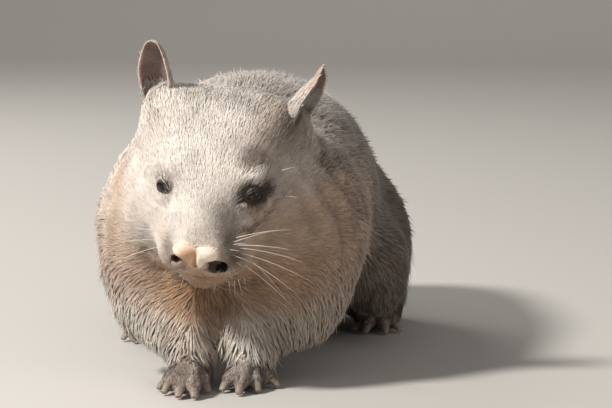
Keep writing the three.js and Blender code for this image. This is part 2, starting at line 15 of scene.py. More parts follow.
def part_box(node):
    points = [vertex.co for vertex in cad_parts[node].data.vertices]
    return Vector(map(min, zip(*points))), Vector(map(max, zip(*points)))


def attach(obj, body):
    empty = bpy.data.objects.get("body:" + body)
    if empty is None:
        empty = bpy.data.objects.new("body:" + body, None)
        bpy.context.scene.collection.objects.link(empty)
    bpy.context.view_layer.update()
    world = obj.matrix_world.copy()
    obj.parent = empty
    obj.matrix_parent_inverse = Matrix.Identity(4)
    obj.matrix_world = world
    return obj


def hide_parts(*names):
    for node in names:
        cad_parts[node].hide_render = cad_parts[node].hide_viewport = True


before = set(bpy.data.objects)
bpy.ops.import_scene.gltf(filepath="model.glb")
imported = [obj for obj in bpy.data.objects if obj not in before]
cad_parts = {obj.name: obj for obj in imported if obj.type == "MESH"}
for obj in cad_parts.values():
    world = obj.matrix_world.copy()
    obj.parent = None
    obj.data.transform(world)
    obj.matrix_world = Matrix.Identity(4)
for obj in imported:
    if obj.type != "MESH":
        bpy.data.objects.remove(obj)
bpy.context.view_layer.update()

# Camera
# The photo is taken from a few metres away with a long lens, slightly from above and from the
# animal's left.
CAMERA_TURN = math.radians(5)
CAMERA_RISE = math.radians(7)
CAMERA_PLACE = (0.364, -3.457, 0.584)
LENS = 186.4

camera = bpy.data.objects.new("camera", bpy.data.cameras.new("camera"))
camera.data.lens = LENS
camera.data.clip_end = 30
camera.rotation_euler = (math.radians(90) - CAMERA_RISE, 0, CAMERA_TURN)
camera.location = CAMERA_PLACE
bpy.context.scene.collection.objects.link(camera)
bpy.context.scene.camera = camera

# Floor and light
# A pale sweep of paper, a broad key light high on the side that the sun stands in the photo, and
# a weaker fill from the other side.
FLOOR_WIDTH = 14.0
FLOOR_BACK = 4.0
SWEEP_RADIUS = 1.5
PAPER = (0.44, 0.43, 0.41, 1)


def paper_sweep():
    profile = [(-8.0, 0.0)]
    for n in range(13):
        a = n / 12 * math.pi / 2
        profile.append((FLOOR_BACK + SWEEP_RADIUS * math.sin(a), SWEEP_RADIUS * (1 - math.cos(a))))
    profile.append((FLOOR_BACK + SWEEP_RADIUS, 6.0))
    sides = (-FLOOR_WIDTH / 2, FLOOR_WIDTH / 2)
    points = [(x, y, z) for y, z in profile for x in sides]
    faces = [(2 * n, 2 * n + 1, 2 * n + 3, 2 * n + 2) for n in range(len(profile) - 1)]
    mesh = bpy.data.meshes.new("floor")
    mesh.from_pydata(points, [], faces)
    mesh.shade_smooth()
    floor = bpy.data.objects.new("floor", mesh)
    bpy.context.scene.collection.objects.link(floor)
    paper = bpy.data.materials.new("paper")
    paper.use_nodes = True
    surface = paper.node_tree.nodes["Principled BSDF"]
    surface.inputs["Base Color"].default_value = PAPER
    surface.inputs["Roughness"].default_value = 0.9
    mesh.materials.append(paper)


def soft_light(name, place, target, size, watts, colour):
    lamp = bpy.data.lights.new(name, "AREA")
    lamp.shape = "DISK"
    lamp.size = size
    lamp.energy = watts
    lamp.color = colour
    light = bpy.data.objects.new(name, lamp)
    light.location = place
    light.rotation_euler = (Vector(target) - Vector(place)).to_track_quat("-Z", "Y").to_euler()
    bpy.context.scene.collection.objects.link(light)


paper_sweep()
soft_light("key", (-2.3, -1.7, 2.9), (0, -0.15, 0.15), 0.6, 235, (1, 0.955, 0.90))
soft_light("fill", (2.6, -2.4, 1.3), (0, 0, 0.15), 2.2, 14, (1, 0.95, 0.9))
soft_light("rim", (-1.8, 2.2, 2.0), (0, 0.1, 0.2), 1.4, 45, (1, 0.97, 0.93))

world = bpy.data.worlds.new("studio")
world.use_nodes = True
world.node_tree.nodes["Background"].inputs["Color"].default_value = (1, 0.96, 0.92, 1)
world.node_tree.nodes["Background"].inputs["Strength"].default_value = 0.36
bpy.context.scene.world = world
bpy.context.scene.view_settings.view_transform = "Standard"

# The skin
# One hide over the trunk, limbs and head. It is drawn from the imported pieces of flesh, closed
# over their joints and smoothed, and lies under their surface by the depth of the coat.
HEAD_PLACE = Vector((-0.008, -0.2504, 0.204))
HEAD_TURN = Euler((math.radians(27), math.radians(6), math.radians(-2)), "XYZ")
HIDE_STEP = 0.004
GAP_CLOSER = 0.0003
EYE_OUT = Vector((0.5, -0.84, 0.2)).normalized()
SIDES = {"right": -1, "left": 1}
SEPARATE = ("claw", "eye", "ear", "nose") # pieces of their own
OUTSIDE = ("claw", "ear") # the others fill the hide until it is opened round the nose and eyes

head_to_world = Matrix.LocRotScale(HEAD_PLACE, HEAD_TURN, None)
world_to_head = np.array(head_to_world.inverted())
turn_to_world = np.array(head_to_world.to_3x3())


def in_head(points):
    """Points in the head's own frame: nose along -Y, level, its middle at the origin."""
    return points @ world_to_head[:3, :3].T + world_to_head[:3, 3]


def ramp(value, start, end):
    t = np.clip((value - start) / (end - start), 0, 1)
    return t * t * (3 - 2 * t)


def spot(points, centre, radii):
    """1 at the centre of a soft oval spot, falling to 0 outside it."""
    away = np.linalg.norm((points - np.array(centre)) / np.array(radii), axis=1)
    return np.exp(-(away**2))


def mesh_arrays(mesh):
    points = np.empty(len(mesh.vertices) * 3, np.float32)
    mesh.vertices.foreach_get("co", points)
    normals = np.empty(len(mesh.vertices) * 3, np.float32)
    mesh.vertices.foreach_get("normal", normals)
    edges = np.empty(len(mesh.edges) * 2, np.int32)
    mesh.edges.foreach_get("vertices", edges)
    return points.reshape(-1, 3).astype(float), normals.reshape(-1, 3).astype(float), edges.reshape(-1, 2)


def put_points(mesh, points):
    mesh.vertices.foreach_set("co", points.astype(np.float32).ravel())
    mesh.update()


def relaxed(points, edges, share, turns):
    """Points moved towards the middle of their neighbours by a share of the way, several times."""
    a, b = edges[:, 0], edges[:, 1]
    count = np.bincount(np.r_[a, b], minlength=len(points))[:, None]
    for _ in range(turns):
        total = np.stack(
            [np.bincount(np.r_[a, b], np.r_[points[b, k], points[a, k]], len(points)) for k in range(3)], 1
        )
        points = points + (total / np.maximum(count, 1) - points) * share[:, None]
    return points


def plain_mesh(name, source, modifiers):
    """A mesh after its modifiers, each given as a type and its settings."""
    holder = bpy.data.objects.new(name, source)
    bpy.context.scene.collection.objects.link(holder)
    for kind, settings in modifiers:
        modifier = holder.modifiers.new(kind.lower(), kind)
        for key, value in settings.items():
            setattr(modifier, key, value)
    seen = holder.evaluated_get(bpy.context.evaluated_depsgraph_get())
    result = bpy.data.meshes.new_from_object(seen)
    result.name = name
    bpy.data.objects.remove(holder)
    return result


def largest_surface(mesh):
    shape = bmesh.new()
    shape.from_mesh(mesh)
    left = set(shape.verts)
    groups = []
    while left:
        seed = left.pop()
        group, front = [seed], [seed]
        while front:
            vert = front.pop()
            for edge in vert.link_edges:
                other = edge.other_vert(vert)
                if other in left:
                    left.discard(other)
                    group.append(other)
                    front.append(other)
        groups.append(group)
    groups.sort(key=len)
    for group in groups[:-1]:
        bmesh.ops.delete(shape, geom=group, context="VERTS")
    shape.to_mesh(mesh)
    shape.free()


def closed_hide():
    shape = bmesh.new()
    for name in sorted(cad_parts):
        if name.startswith(OUTSIDE):
            continue
        node = bmesh.new()
        node.from_mesh(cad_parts[name].data)
        bmesh.ops.remove_doubles(node, verts=node.verts, dist=1e-6)
        node.normal_update()
        for vert in node.verts:
            vert.co += vert.normal * GAP_CLOSER
        piece = bpy.data.meshes.new(name)
        node.to_mesh(piece)
        node.free()
        shape.from_mesh(piece)
        bpy.data.meshes.remove(piece)
    mesh = bpy.data.meshes.new("hide")
    shape.to_mesh(mesh)
    shape.free()
    hide = plain_mesh("hide", mesh, [("REMESH", {"mode": "VOXEL", "voxel_size": HIDE_STEP})])
    largest_surface(hide)
    return hide


def refine(mesh, chosen):
    """Halves the faces whose corners are all chosen."""
    shape = bmesh.new()
    shape.from_mesh(mesh)
    shape.verts.ensure_lookup_table()
    faces = [f for f in shape.faces if all(chosen[v.index] for v in f.verts)]
    edges = {e for f in faces for e in f.edges}
    bmesh.ops.subdivide_edges(shape, edges=list(edges), cuts=1, use_grid_fill=True, smooth=0)
    shape.to_mesh(mesh)
    shape.free()


def coat_depth(points):
    """How far the skin lies under the tips of the coat."""
    head = in_head(points)
    away = np.linalg.norm(head * (1, 1, 1.1), axis=1)
    depth = 0.0035 + 0.0045 * ramp(away, 0.09, 0.17)
    muzzle = ramp(head[:, 1], -0.045, -0.085) * (away < 0.16)
    depth = depth - 0.0018 * muzzle
    feet = ramp(points[:, 2], 0.055, 0.02)
    return depth * (1 - 0.72 * feet)


# Folds and swellings of the face, in the head's frame: middle, reach and height, both sides
FACE_FORMS = {
    "brow": ((0.047, -0.043, 0.049), (0.016, 0.016, 0.007), 0.0048),
    "eye hollow": ((0.048, -0.052, 0.032), (0.017, 0.02, 0.011), -0.0025),
    "tear line": ((0.036, -0.062, 0.022), (0.010, 0.012, 0.012), -0.0035),
    "lower bag": ((0.052, -0.056, 0.020), (0.014, 0.014, 0.005), 0.0012),
    "bag crease": ((0.049, -0.062, 0.0135), (0.018, 0.015, 0.0035), -0.0018),
    "muzzle hollow": ((0.037, -0.070, 0.002), (0.012, 0.016, 0.014), -0.001),
    "whisker pad": ((0.036, -0.076, -0.034), (0.015, 0.016, 0.013), 0.0034),
    "temple": ((0.066, -0.004, 0.044), (0.018, 0.022, 0.018), -0.004),
    "jowl crease": ((0.050, -0.054, -0.076), (0.009, 0.014, 0.006), -0.0035),
    "chin": ((0.0, -0.074, -0.067), (0.024, 0.02, 0.009), 0.0035),
    "chin crease": ((0.012, -0.066, -0.079), (0.028, 0.03, 0.005), -0.0035),
}
# The line between the lips, from the right corner of the mouth to the left
MOUTH = (
    (-0.066, -0.047, -0.056), (-0.052, -0.058, -0.063), (-0.036, -0.074, -0.060), (-0.014, -0.089, -0.0515),
    (0.0, -0.089, -0.0525), (0.014, -0.087, -0.0535), (0.034, -0.083, -0.049), (0.050, -0.066, -0.050),
)
# The crease that runs outwards from the muzzle under the left eye
CRESCENT = (
    (0.037, -0.076, 0.004), (0.043, -0.074, -0.001), (0.056, -0.062, 0.007),
    (0.067, -0.045, 0.018), (0.076, -0.03, 0.027),
)
CRESCENT_DEPTH = 0.002
LIP_DEPTH = 0.0042
# The bare pad of the nose in the head's frame, left half: middle and reach of each swelling
NOSE_SHIFT = -0.003 # its groove stands this far to the right of the skull's middle
PAD_LOBE = ((0.0110, -0.0955, -0.0120), (0.0140, 0.0120, 0.0100))
PAD_TOP = ((0.0, -0.0945, -0.0120), (0.0130, 0.0115, 0.0095))
PAD_STEM = ((0.0, -0.0960, -0.0190), (0.0115, 0.0120, 0.0135))
PAD_WING = ((0.0165, -0.0900, -0.0315), (0.0115, 0.0110, 0.0070))
# The nostrils: middle, reach and tilt
NOSTRIL = {
    "right": ((-0.0200, -0.0990, -0.0232), (0.0074, 0.0170, 0.0048), math.radians(-24)),
    "left": ((0.0214, -0.0980, -0.0268), (0.0114, 0.0180, 0.0080), math.radians(20)),
}
NOSTRIL_RISE = math.radians(20) # each opens a little upwards
PAD_BACK = -0.074 # the skin lies this far back under the pad
FOLD_HEIGHT = 0.0048
TOE_LENGTH = 0.026
CHEST_HOLLOW = (-0.008, -0.275, 0.062)
CHEST_PUSH = np.array((0, 0.018, 0.004))


def line_distance(head, line):
    """Distance from a line through some points, and the height above it."""
    line = np.array(line)
    best = np.full(len(head), 1.0)
    above = np.zeros(len(head))
    for a, b in zip(line[:-1], line[1:]):
        t = np.clip((head - a) @ (b - a) / ((b - a) @ (b - a)), 0, 1)
        gap = head - (a + t[:, None] * (b - a))
        away = np.linalg.norm(gap, axis=1)
        nearer = away < best
        best[nearer] = away[nearer]
        above[nearer] = gap[nearer, 2]
    return best, above


def crescent(head):
    """How near points are to the crease under the left eye, seen from the front."""
    seen = np.array((1, 0.3, 1))
    return np.exp(-((line_distance(head * seen, CRESCENT * seen)[0] / 0.0034) ** 2)) * (head[:, 1] < 0)


def face_relief(head):
    folded = head * (np.sign(head[:, :1]) * (1, 0, 0) + (0, 1, 1))
    relief = sum(height * spot(folded, middle, reach) for middle, reach, height in FACE_FORMS.values())
    away, above = line_distance(head, MOUTH)
    corner = ramp(np.abs(head[:, 0]), 0.03, 0.055)
    relief -= LIP_DEPTH * (1 - 0.5 * corner) * np.exp(-((away / (0.0022 + 0.002 * corner)) ** 2))
    relief -= CRESCENT_DEPTH * crescent(head)
    relief += 0.0016 * np.exp(-(((above + 0.0065) / 0.004) ** 2)) * np.exp(-((away / 0.011) ** 2))
    crown = spot(head, (0.005, -0.012, 0.083), (0.03, 0.03, 0.02))
    relief -= 0.0022 * np.exp(-(((head[:, 2] - 0.084) / 0.003) ** 2)) * crown
    return relief


def neck_folds(points):
    """Loose skin in upright folds behind the cheeks, from -1 in a valley to 1 on a ridge."""
    head = in_head(points)
    behind = spot(head, (0.112, 0.012, -0.03), (0.04, 0.05, 0.085))
    behind += 0.3 * spot(head, (-0.112, 0.012, -0.03), (0.04, 0.05, 0.085))
    x, y, z = points.T
    return np.sin(2 * math.pi * (y + 0.25 * z + 0.004 * np.sin(28 * z) + 0.06 * x) / 0.027) * behind


def toe_lines():
    """The line of each toe, from inside the root of its claw back and up over the foot."""
    lines = []
    for name, node in sorted(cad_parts.items()):
        if name.startswith("claw"):
            points, _, _ = mesh_arrays(node.data)
            low = points[points[:, 2] < points[:, 2].min() + 0.003].mean(0)
            high = points[points[:, 2] > points[:, 2].max() - 0.003].mean(0)
            back = (high - low) * (1, 1, 0)
            back /= np.linalg.norm(back)
            lines.append((high + (low - high) * 0.25, high + back * TOE_LENGTH + (0, 0, 0.012)))
    return lines


def toe_distance(points):
    """How far points lie from the nearest toe's line."""
    best = np.full(len(points), 1.0)
    for start, end in toe_lines():
        along = end - start
        t = np.clip((points - start) @ along / (along @ along), 0, 1)
        best = np.minimum(best, np.linalg.norm(points - start - t[:, None] * along, axis=1))
    return best


def toe_relief(points):
    away = toe_distance(points)
    return (0.0122 * np.exp(-((away / 0.0086) ** 2)) - 0.0044) * ramp(away, 0.021, 0.013)


def chest_hollow(points):
    """The chest lies back between the forelegs."""
    return spot(points, CHEST_HOLLOW, (0.017, 0.035, 0.026))


def pad_distance(head, depth):
    """How far out points lie in the nearest swelling of the nose pad, or in a nostril: 1 at its face."""
    own = head - (NOSE_SHIFT, 0, 0)
    folded = np.abs(own[:, :1]) * (1, 0, 0) + own * (0, 1, 1)
    flat = (1, depth, 1)
    swellings = (PAD_LOBE, PAD_TOP, PAD_STEM, PAD_WING)
    pad = [np.linalg.norm((folded - centre) / reach * flat, axis=1) for centre, reach in swellings]
    holes = []
    for centre, reach, tilt in NOSTRIL.values():
        turn = np.array(Euler((-NOSTRIL_RISE, tilt, 0)).to_matrix())
        holes.append(np.linalg.norm((own - centre) @ turn / reach * flat, axis=1))
    return np.min(pad, axis=0), np.min(holes, axis=0)


def behind_nose(points):
    """Skin drawn back under the bare pad of the nose and into the nostrils."""
    head = in_head(points)
    pad, hole = pad_distance(head, 1)
    pull = np.maximum(ramp(pad, 0.95, 0.8), ramp(hole, 1.02, 0.85)) * (head[:, 1] < -0.08)
    return points + turn_to_world[:, 1] * (pull * (PAD_BACK - head[:, 1]))[:, None]


def make_skin():
    mesh = closed_hide()
    points, _, edges = mesh_arrays(mesh)
    head = in_head(points)
    feet = ramp(points[:, 2], 0.05, 0.03)
    fine = spot(head, (0, -0.03, 0), (0.14, 0.12, 0.11)) + feet
    share = 0.55 * (1 - 0.85 * np.clip(fine * 1.3, 0, 1)) * (1 - 0.8 * feet)
    points = relaxed(points, edges, 0.5 * (1 - 0.6 * feet), 3)
    points = relaxed(points, edges, share, 36)
    put_points(mesh, points)
    for reach, level in ((1.0, 0.06), (0.55, 0.45)):
        points, _, _ = mesh_arrays(mesh)
        head = in_head(points)
        front = spot(head, (0, -0.075, -0.01), (0.075, 0.06, 0.075)) > level
        refine(mesh, front | (toe_distance(points) < 0.019))
        points, _, edges = mesh_arrays(mesh)
        near = (spot(in_head(points), (0, -0.075, -0.01), (0.075, 0.06, 0.075)) > level).astype(float)
        near += 0.6 * (toe_distance(points) < 0.019)
        put_points(mesh, relaxed(points, edges, 0.5 * near, 3))
    points, normals, edges = mesh_arrays(mesh)
    relief = face_relief(in_head(points)) + FOLD_HEIGHT * neck_folds(points) + toe_relief(points)
    points = points + normals * (relief - coat_depth(points))[:, None]
    points = behind_nose(points)
    points = points + CHEST_PUSH * chest_hollow(points)[:, None]
    points[:, 2] = np.maximum(points[:, 2], 0.0003)
    put_points(mesh, points)
    mesh.shade_smooth()
    return mesh


skin_mesh = make_skin()
skin = bpy.data.objects.new("skin", skin_mesh)
bpy.context.scene.collection.objects.link(skin)
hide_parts(*[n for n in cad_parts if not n.startswith(SEPARATE)])
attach(skin, "root")


# The colours of the coat, as the eye sees them; some also stand for light and shade painted into it
PALE = "#efe3d6"
CREAM = "#ddcdc0"
SAND = "#bfa189"
OCHRE = "#b18158"
SILVER = "#aca098"
STONE = "#8b7b70"
UMBER = "#5a4840"
SOOT = "#261d1a"
LIP_PINK = "#c08a78"
FOOT_GREY = "#b09f92"


def linear(colour):
    value = np.array([int(colour[k : k + 2], 16) / 255 for k in (1, 3, 5)])
    return np.where(value < 0.04045, value / 12.92, ((value + 0.055) / 1.055) ** 2.4)


def laid_over(below, colour, weight):
    return below + (linear(colour) - below) * np.clip(weight, 0, 1)[:, None]


def patch(points, centre, radii):
    """A solid spot with a soft edge."""
    return ramp(spot(points, centre, radii), 0.22, 0.62)


def markings_and_painted_light(points):
    """The coat's colour at points on the body, the same for the skin and for the tufts, with light and shade
    painted in at some places.
    """
    head = in_head(points)
    x, y, z = points.T
    hx, hy, hz = head.T
    folded = head * (np.sign(head[:, :1]) * (1, 0, 0) + (0, 1, 1))
    colour = np.tile(linear(STONE), (len(points), 1))
    colour = laid_over(colour, SILVER, 0.85 * ramp(z, 0.17, 0.27))
    colour = laid_over(colour, UMBER, 0.8 * ramp(y, -0.02, 0.12) * ramp(z, 0.24, 0.13))
    colour = laid_over(colour, SAND, 0.75 * ramp(y, 0.0, -0.14) * ramp(z, 0.30, 0.16))
    colour = laid_over(colour, UMBER, 0.5 * spot(points, (0.0, 0.26, 0.14), (0.22, 0.16, 0.12)))
    colour = laid_over(colour, CREAM, 0.5 * ramp(y, -0.12, -0.2) * ramp(z, 0.16, 0.06))
    fore = ramp(y, -0.16, -0.24) * ramp(z, 0.12, 0.085) * ramp(z, 0.03, 0.05)
    # Pale hair down the forelegs, less of it on the left foreleg: painted shade on that side
    colour = laid_over(colour, PALE, 0.75 * fore * (1 - 0.8 * ramp(x, 0.03, 0.07)))
    face = ramp(np.linalg.norm(head * (1, 1, 1.1), axis=1), 0.165, 0.12) * ramp(hy, 0.09, 0.02)
    colour = laid_over(colour, SAND, face)
    colour = laid_over(colour, PALE, 0.95 * face * ramp(hz, -0.03, 0.02) * ramp(hx, 0.055, 0.02))
    colour = laid_over(colour, CREAM, 0.6 * face * ramp(hz, -0.01, 0.03) * ramp(hx, 0.0, 0.03))
    colour = laid_over(colour, CREAM, 0.7 * face * ramp(hx, -0.02, -0.07))
    crown = ramp(hy, 0.005, 0.05) * ramp(hz, 0.045, 0.07) * ramp(hy, 0.12, 0.09) * ramp(hx, -0.05, -0.02)
    colour = laid_over(colour, SILVER, 0.8 * crown)
    colour = laid_over(colour, OCHRE, 0.55 * spot(folded, (0.070, -0.02, -0.068), (0.05, 0.06, 0.03)))
    colour = laid_over(colour, OCHRE, 0.85 * spot(folded, (0.0, -0.06, -0.082), (0.06, 0.05, 0.022)))
    # An ochre stripe down the right side of the face where it meets the neck: ochre hair, with painted shade
    # of that fold
    colour = laid_over(colour, OCHRE, 0.55 * spot(head, (-0.100, -0.005, 0.0), (0.010, 0.03, 0.07)))
    colour = laid_over(colour, PALE, 0.8 * spot(head, (-0.052, -0.062, -0.030), (0.028, 0.03, 0.022)))
    colour = laid_over(colour, PALE, 0.9 * spot(head, (-0.024, -0.080, 0.018), (0.013, 0.03, 0.03)))
    colour = laid_over(colour, STONE, 0.75 * spot(head, (0.058, 0.0, 0.066), (0.026, 0.05, 0.024)))
    colour = laid_over(colour, UMBER, 0.75 * spot(head, (0.064, 0.022, 0.068), (0.020, 0.024, 0.022)))
    colour = laid_over(colour, UMBER, 0.75 * patch(head, (0.045, -0.035, 0.058), (0.024, 0.022, 0.011)))
    # A grey-brown streak down the left side of the nose bridge: brown hair, with painted shade on that side
    # of the muzzle
    colour = laid_over(colour, UMBER, 0.60 * spot(head, (0.016, -0.078, 0.022), (0.012, 0.02, 0.018)))
    colour = laid_over(colour, UMBER, 0.55 * patch(head, (0.024, -0.088, 0.012), (0.012, 0.02, 0.018)))
    colour = laid_over(colour, SOOT, 0.95 * patch(head, (0.047, -0.055, 0.030), (0.0225, 0.028, 0.0140)))
    colour = laid_over(colour, PALE, 0.95 * patch(head, (0.045, -0.046, 0.0465), (0.012, 0.014, 0.0055)))
    colour = laid_over(colour, SAND, 0.7 * patch(head, (0.053, -0.057, 0.0195), (0.012, 0.012, 0.0040)))
    colour = laid_over(colour, UMBER, 0.9 * crescent(head))
    colour = laid_over(colour, UMBER, 0.6 * spot(head, (0.037, -0.066, 0.024), (0.007, 0.012, 0.010)))
    colour = laid_over(colour, UMBER, 0.7 * spot(head, (-0.046, -0.055, 0.030), (0.0115, 0.012, 0.0095)))
    colour = laid_over(colour, SOOT, 0.85 * patch(head, (-0.046, -0.058, 0.030), (0.0085, 0.016, 0.0072)))
    colour = laid_over(colour, UMBER, 0.7 * spot(head, (-0.040, -0.064, 0.021), (0.0035, 0.007, 0.007)))
    colour = laid_over(colour, SOOT, 0.7 * spot(head, (0.028, -0.096, -0.001), (0.0080, 0.014, 0.012)))
    colour = laid_over(colour, SOOT, 0.8 * spot(head, (0.034, -0.092, -0.020), (0.0095, 0.014, 0.013)))
    colour = laid_over(colour, UMBER, 0.7 * spot(head, (-0.031, -0.091, -0.018), (0.006, 0.012, 0.014)))
    # The skin drawn back behind the nose pad and into the nostrils is painted soot: painted shade inside the
    # nostrils
    inside = (np.minimum(*pad_distance(head, 0)) < 1) & (hy < -0.06)
    colour = laid_over(colour, SOOT, inside * ramp(hy, -0.0975, -0.094))
    away, above = line_distance(head, MOUTH)
    lips = np.exp(-((away / 0.0034) ** 2)) * ramp(np.abs(hx), 0.045, 0.03)
    colour = laid_over(colour, LIP_PINK, 0.7 * lips)
    # A thin soot line between the lips: painted shade in the mouth's slit
    colour = laid_over(colour, SOOT, 0.9 * np.exp(-((away / 0.0014) ** 2)))
    colour = laid_over(colour, UMBER, 0.85 * np.exp(-((away / 0.007) ** 2)) * ramp(np.abs(hx), 0.03, 0.05))
    # A brown band across the chin: dark chin hair, with painted shade under the chin
    colour = laid_over(colour, UMBER, 0.85 * spot(head, (0.012, -0.070, -0.073), (0.042, 0.03, 0.0075)))
    # The valleys of the neck folds are painted darker: painted shade in the creases
    colour = laid_over(colour, UMBER, 0.55 * np.clip(-neck_folds(points), 0, 1) ** 1.5)
    colour = laid_over(colour, OCHRE, 0.5 * spot(points, (-0.008, -0.26, 0.08), (0.035, 0.06, 0.03)))
    # A dark band across the throat just under the chin: painted shadow of the chin
    colour = laid_over(colour, UMBER, 0.8 * spot(points, (0.0, -0.262, 0.093), (0.034, 0.03, 0.0075)))
    # The hollow of the chest between the forelegs is painted darker: painted shade in the recess
    colour = laid_over(colour, UMBER, 0.75 * chest_hollow(points))
    feet = ramp(z, 0.045, 0.028)
    colour = laid_over(colour, FOOT_GREY, 0.8 * feet)
    # The feet are painted darker between the toes: painted shade in the gaps
    colour = laid_over(colour, UMBER, 0.9 * feet * ramp(toe_distance(points), 0.0058, 0.0088))
    # A pale patch on the left wrist: painted sunlight
    colour = laid_over(colour, PALE, 0.95 * spot(points, (0.016, -0.285, 0.060), (0.024, 0.04, 0.024)))
    colour = laid_over(colour, UMBER, 0.75 * spot(points, (-0.056, -0.285, 0.056), (0.018, 0.03, 0.018)))
    # Brown on the outside of the left foreleg: painted shade
    colour = laid_over(colour, UMBER, 0.65 * spot(points, (0.054, -0.265, 0.060), (0.020, 0.03, 0.020)))
    return colour


def colour_mesh(mesh, colour):
    layer = mesh.color_attributes.new("coat", "FLOAT_COLOR", "POINT")
    layer.data.foreach_set("color", np.c_[colour, np.ones(len(colour))].astype(np.float32).ravel())


def mottle_group():
    """Grizzle of the coat: flecks and blotches that darken and lighten a colour, and their height."""
    group = bpy.data.node_groups.new("grizzle", "ShaderNodeTree")
    group.interface.new_socket("Colour", in_out="INPUT", socket_type="NodeSocketColor")
    group.interface.new_socket("Amount", in_out="INPUT", socket_type="NodeSocketFloat")
    group.interface.new_socket("Colour", in_out="OUTPUT", socket_type="NodeSocketColor")
    group.interface.new_socket("Height", in_out="OUTPUT", socket_type="NodeSocketFloat")
    add, link = group.nodes.new, group.links.new
    entry, leave = add("NodeGroupInput"), add("NodeGroupOutput")
    place = add("ShaderNodeTexCoord")
    blotch, fleck = add("ShaderNodeTexNoise"), add("ShaderNodeTexNoise")
    blotch.inputs["Scale"].default_value = 62
    blotch.inputs["Detail"].default_value = 3
    fleck.inputs["Scale"].default_value = 420
    fleck.inputs["Detail"].default_value = 2
    both = add("ShaderNodeMath")
    both.operation = "MULTIPLY_ADD"
    both.inputs[1].default_value = 0.55
    spread = add("ShaderNodeMapRange")
    spread.inputs["From Min"].default_value = 0.55
    spread.inputs["From Max"].default_value = 0.95
    spread.inputs["To Min"].default_value = -1
    spread.inputs["To Max"].default_value = 1
    amount = add("ShaderNodeMath")
    amount.operation = "MULTIPLY"
    gain = add("ShaderNodeMath")
    gain.operation = "ADD"
    gain.inputs[1].default_value = 1
    tint = add("ShaderNodeVectorMath")
    tint.operation = "SCALE"
    for noise in (blotch, fleck):
        link(place.outputs["Object"], noise.inputs["Vector"])
    link(fleck.outputs["Fac"], both.inputs[0])
    link(blotch.outputs["Fac"], both.inputs[2])
    link(both.outputs[0], spread.inputs["Value"])
    link(spread.outputs[0], amount.inputs[0])
    link(entry.outputs["Amount"], amount.inputs[1])
    link(amount.outputs[0], gain.inputs[0])
    link(entry.outputs["Colour"], tint.inputs[0])
    link(gain.outputs[0], tint.inputs["Scale"])
    link(tint.outputs[0], leave.inputs["Colour"])
    link(fleck.outputs["Fac"], leave.inputs["Height"])
    return group


grizzle = mottle_group()


def coat_material(name, roughness, amount, bump, sheen):
    material = bpy.data.materials.new(name)
    material.use_nodes = True
    nodes, link = material.node_tree.nodes, material.node_tree.links.new
    surface = nodes["Principled BSDF"]
    surface.inputs["Roughness"].default_value = roughness
    surface.inputs["Specular IOR Level"].default_value = 0.25
    surface.inputs["Sheen Weight"].default_value = sheen
    surface.inputs["Sheen Roughness"].default_value = 0.45
    painted = nodes.new("ShaderNodeAttribute")
    painted.attribute_name = "coat"
    mottle = nodes.new("ShaderNodeGroup")
    mottle.node_tree = grizzle
    mottle.inputs["Amount"].default_value = amount
    raised = nodes.new("ShaderNodeBump")
    raised.inputs["Strength"].default_value = bump
    raised.inputs["Distance"].default_value = 0.002
    link(painted.outputs["Color"], mottle.inputs["Colour"])
    link(mottle.outputs["Colour"], surface.inputs["Base Color"])
    link(mottle.outputs["Height"], raised.inputs["Height"])
    link(raised.outputs["Normal"], surface.inputs["Normal"])
    return material


skin_points, skin_normals, _ = mesh_arrays(skin_mesh)
colour_mesh(skin_mesh, markings_and_painted_light(skin_points) * 0.9)
skin_mesh.materials.append(coat_material("hide under the coat", 0.85, 0.22, 0.6, 0.15))

# The nose
# A bare pad of two lobes with a groove between them and a wing under each nostril. It is firm
# leathery skin with fine down, set into the end of the muzzle.
NOSE_STEP = 0.0008
GROOVE_WIDTH = 0.0024
GROOVE_DEPTH = 0.0036
PAD_TAN = "#c79f80"
PAD_LIT_CREAM = "#e9dccf"
PAD_MAUVE = "#8b7a78"


def egg_shape(shape, centre, radii, turn=(0, 0, 0), finish=4):
    place = Matrix.LocRotScale(Vector(centre), Euler(turn), Vector(radii))
    return bmesh.ops.create_icosphere(shape, subdivisions=finish, radius=1, matrix=place)


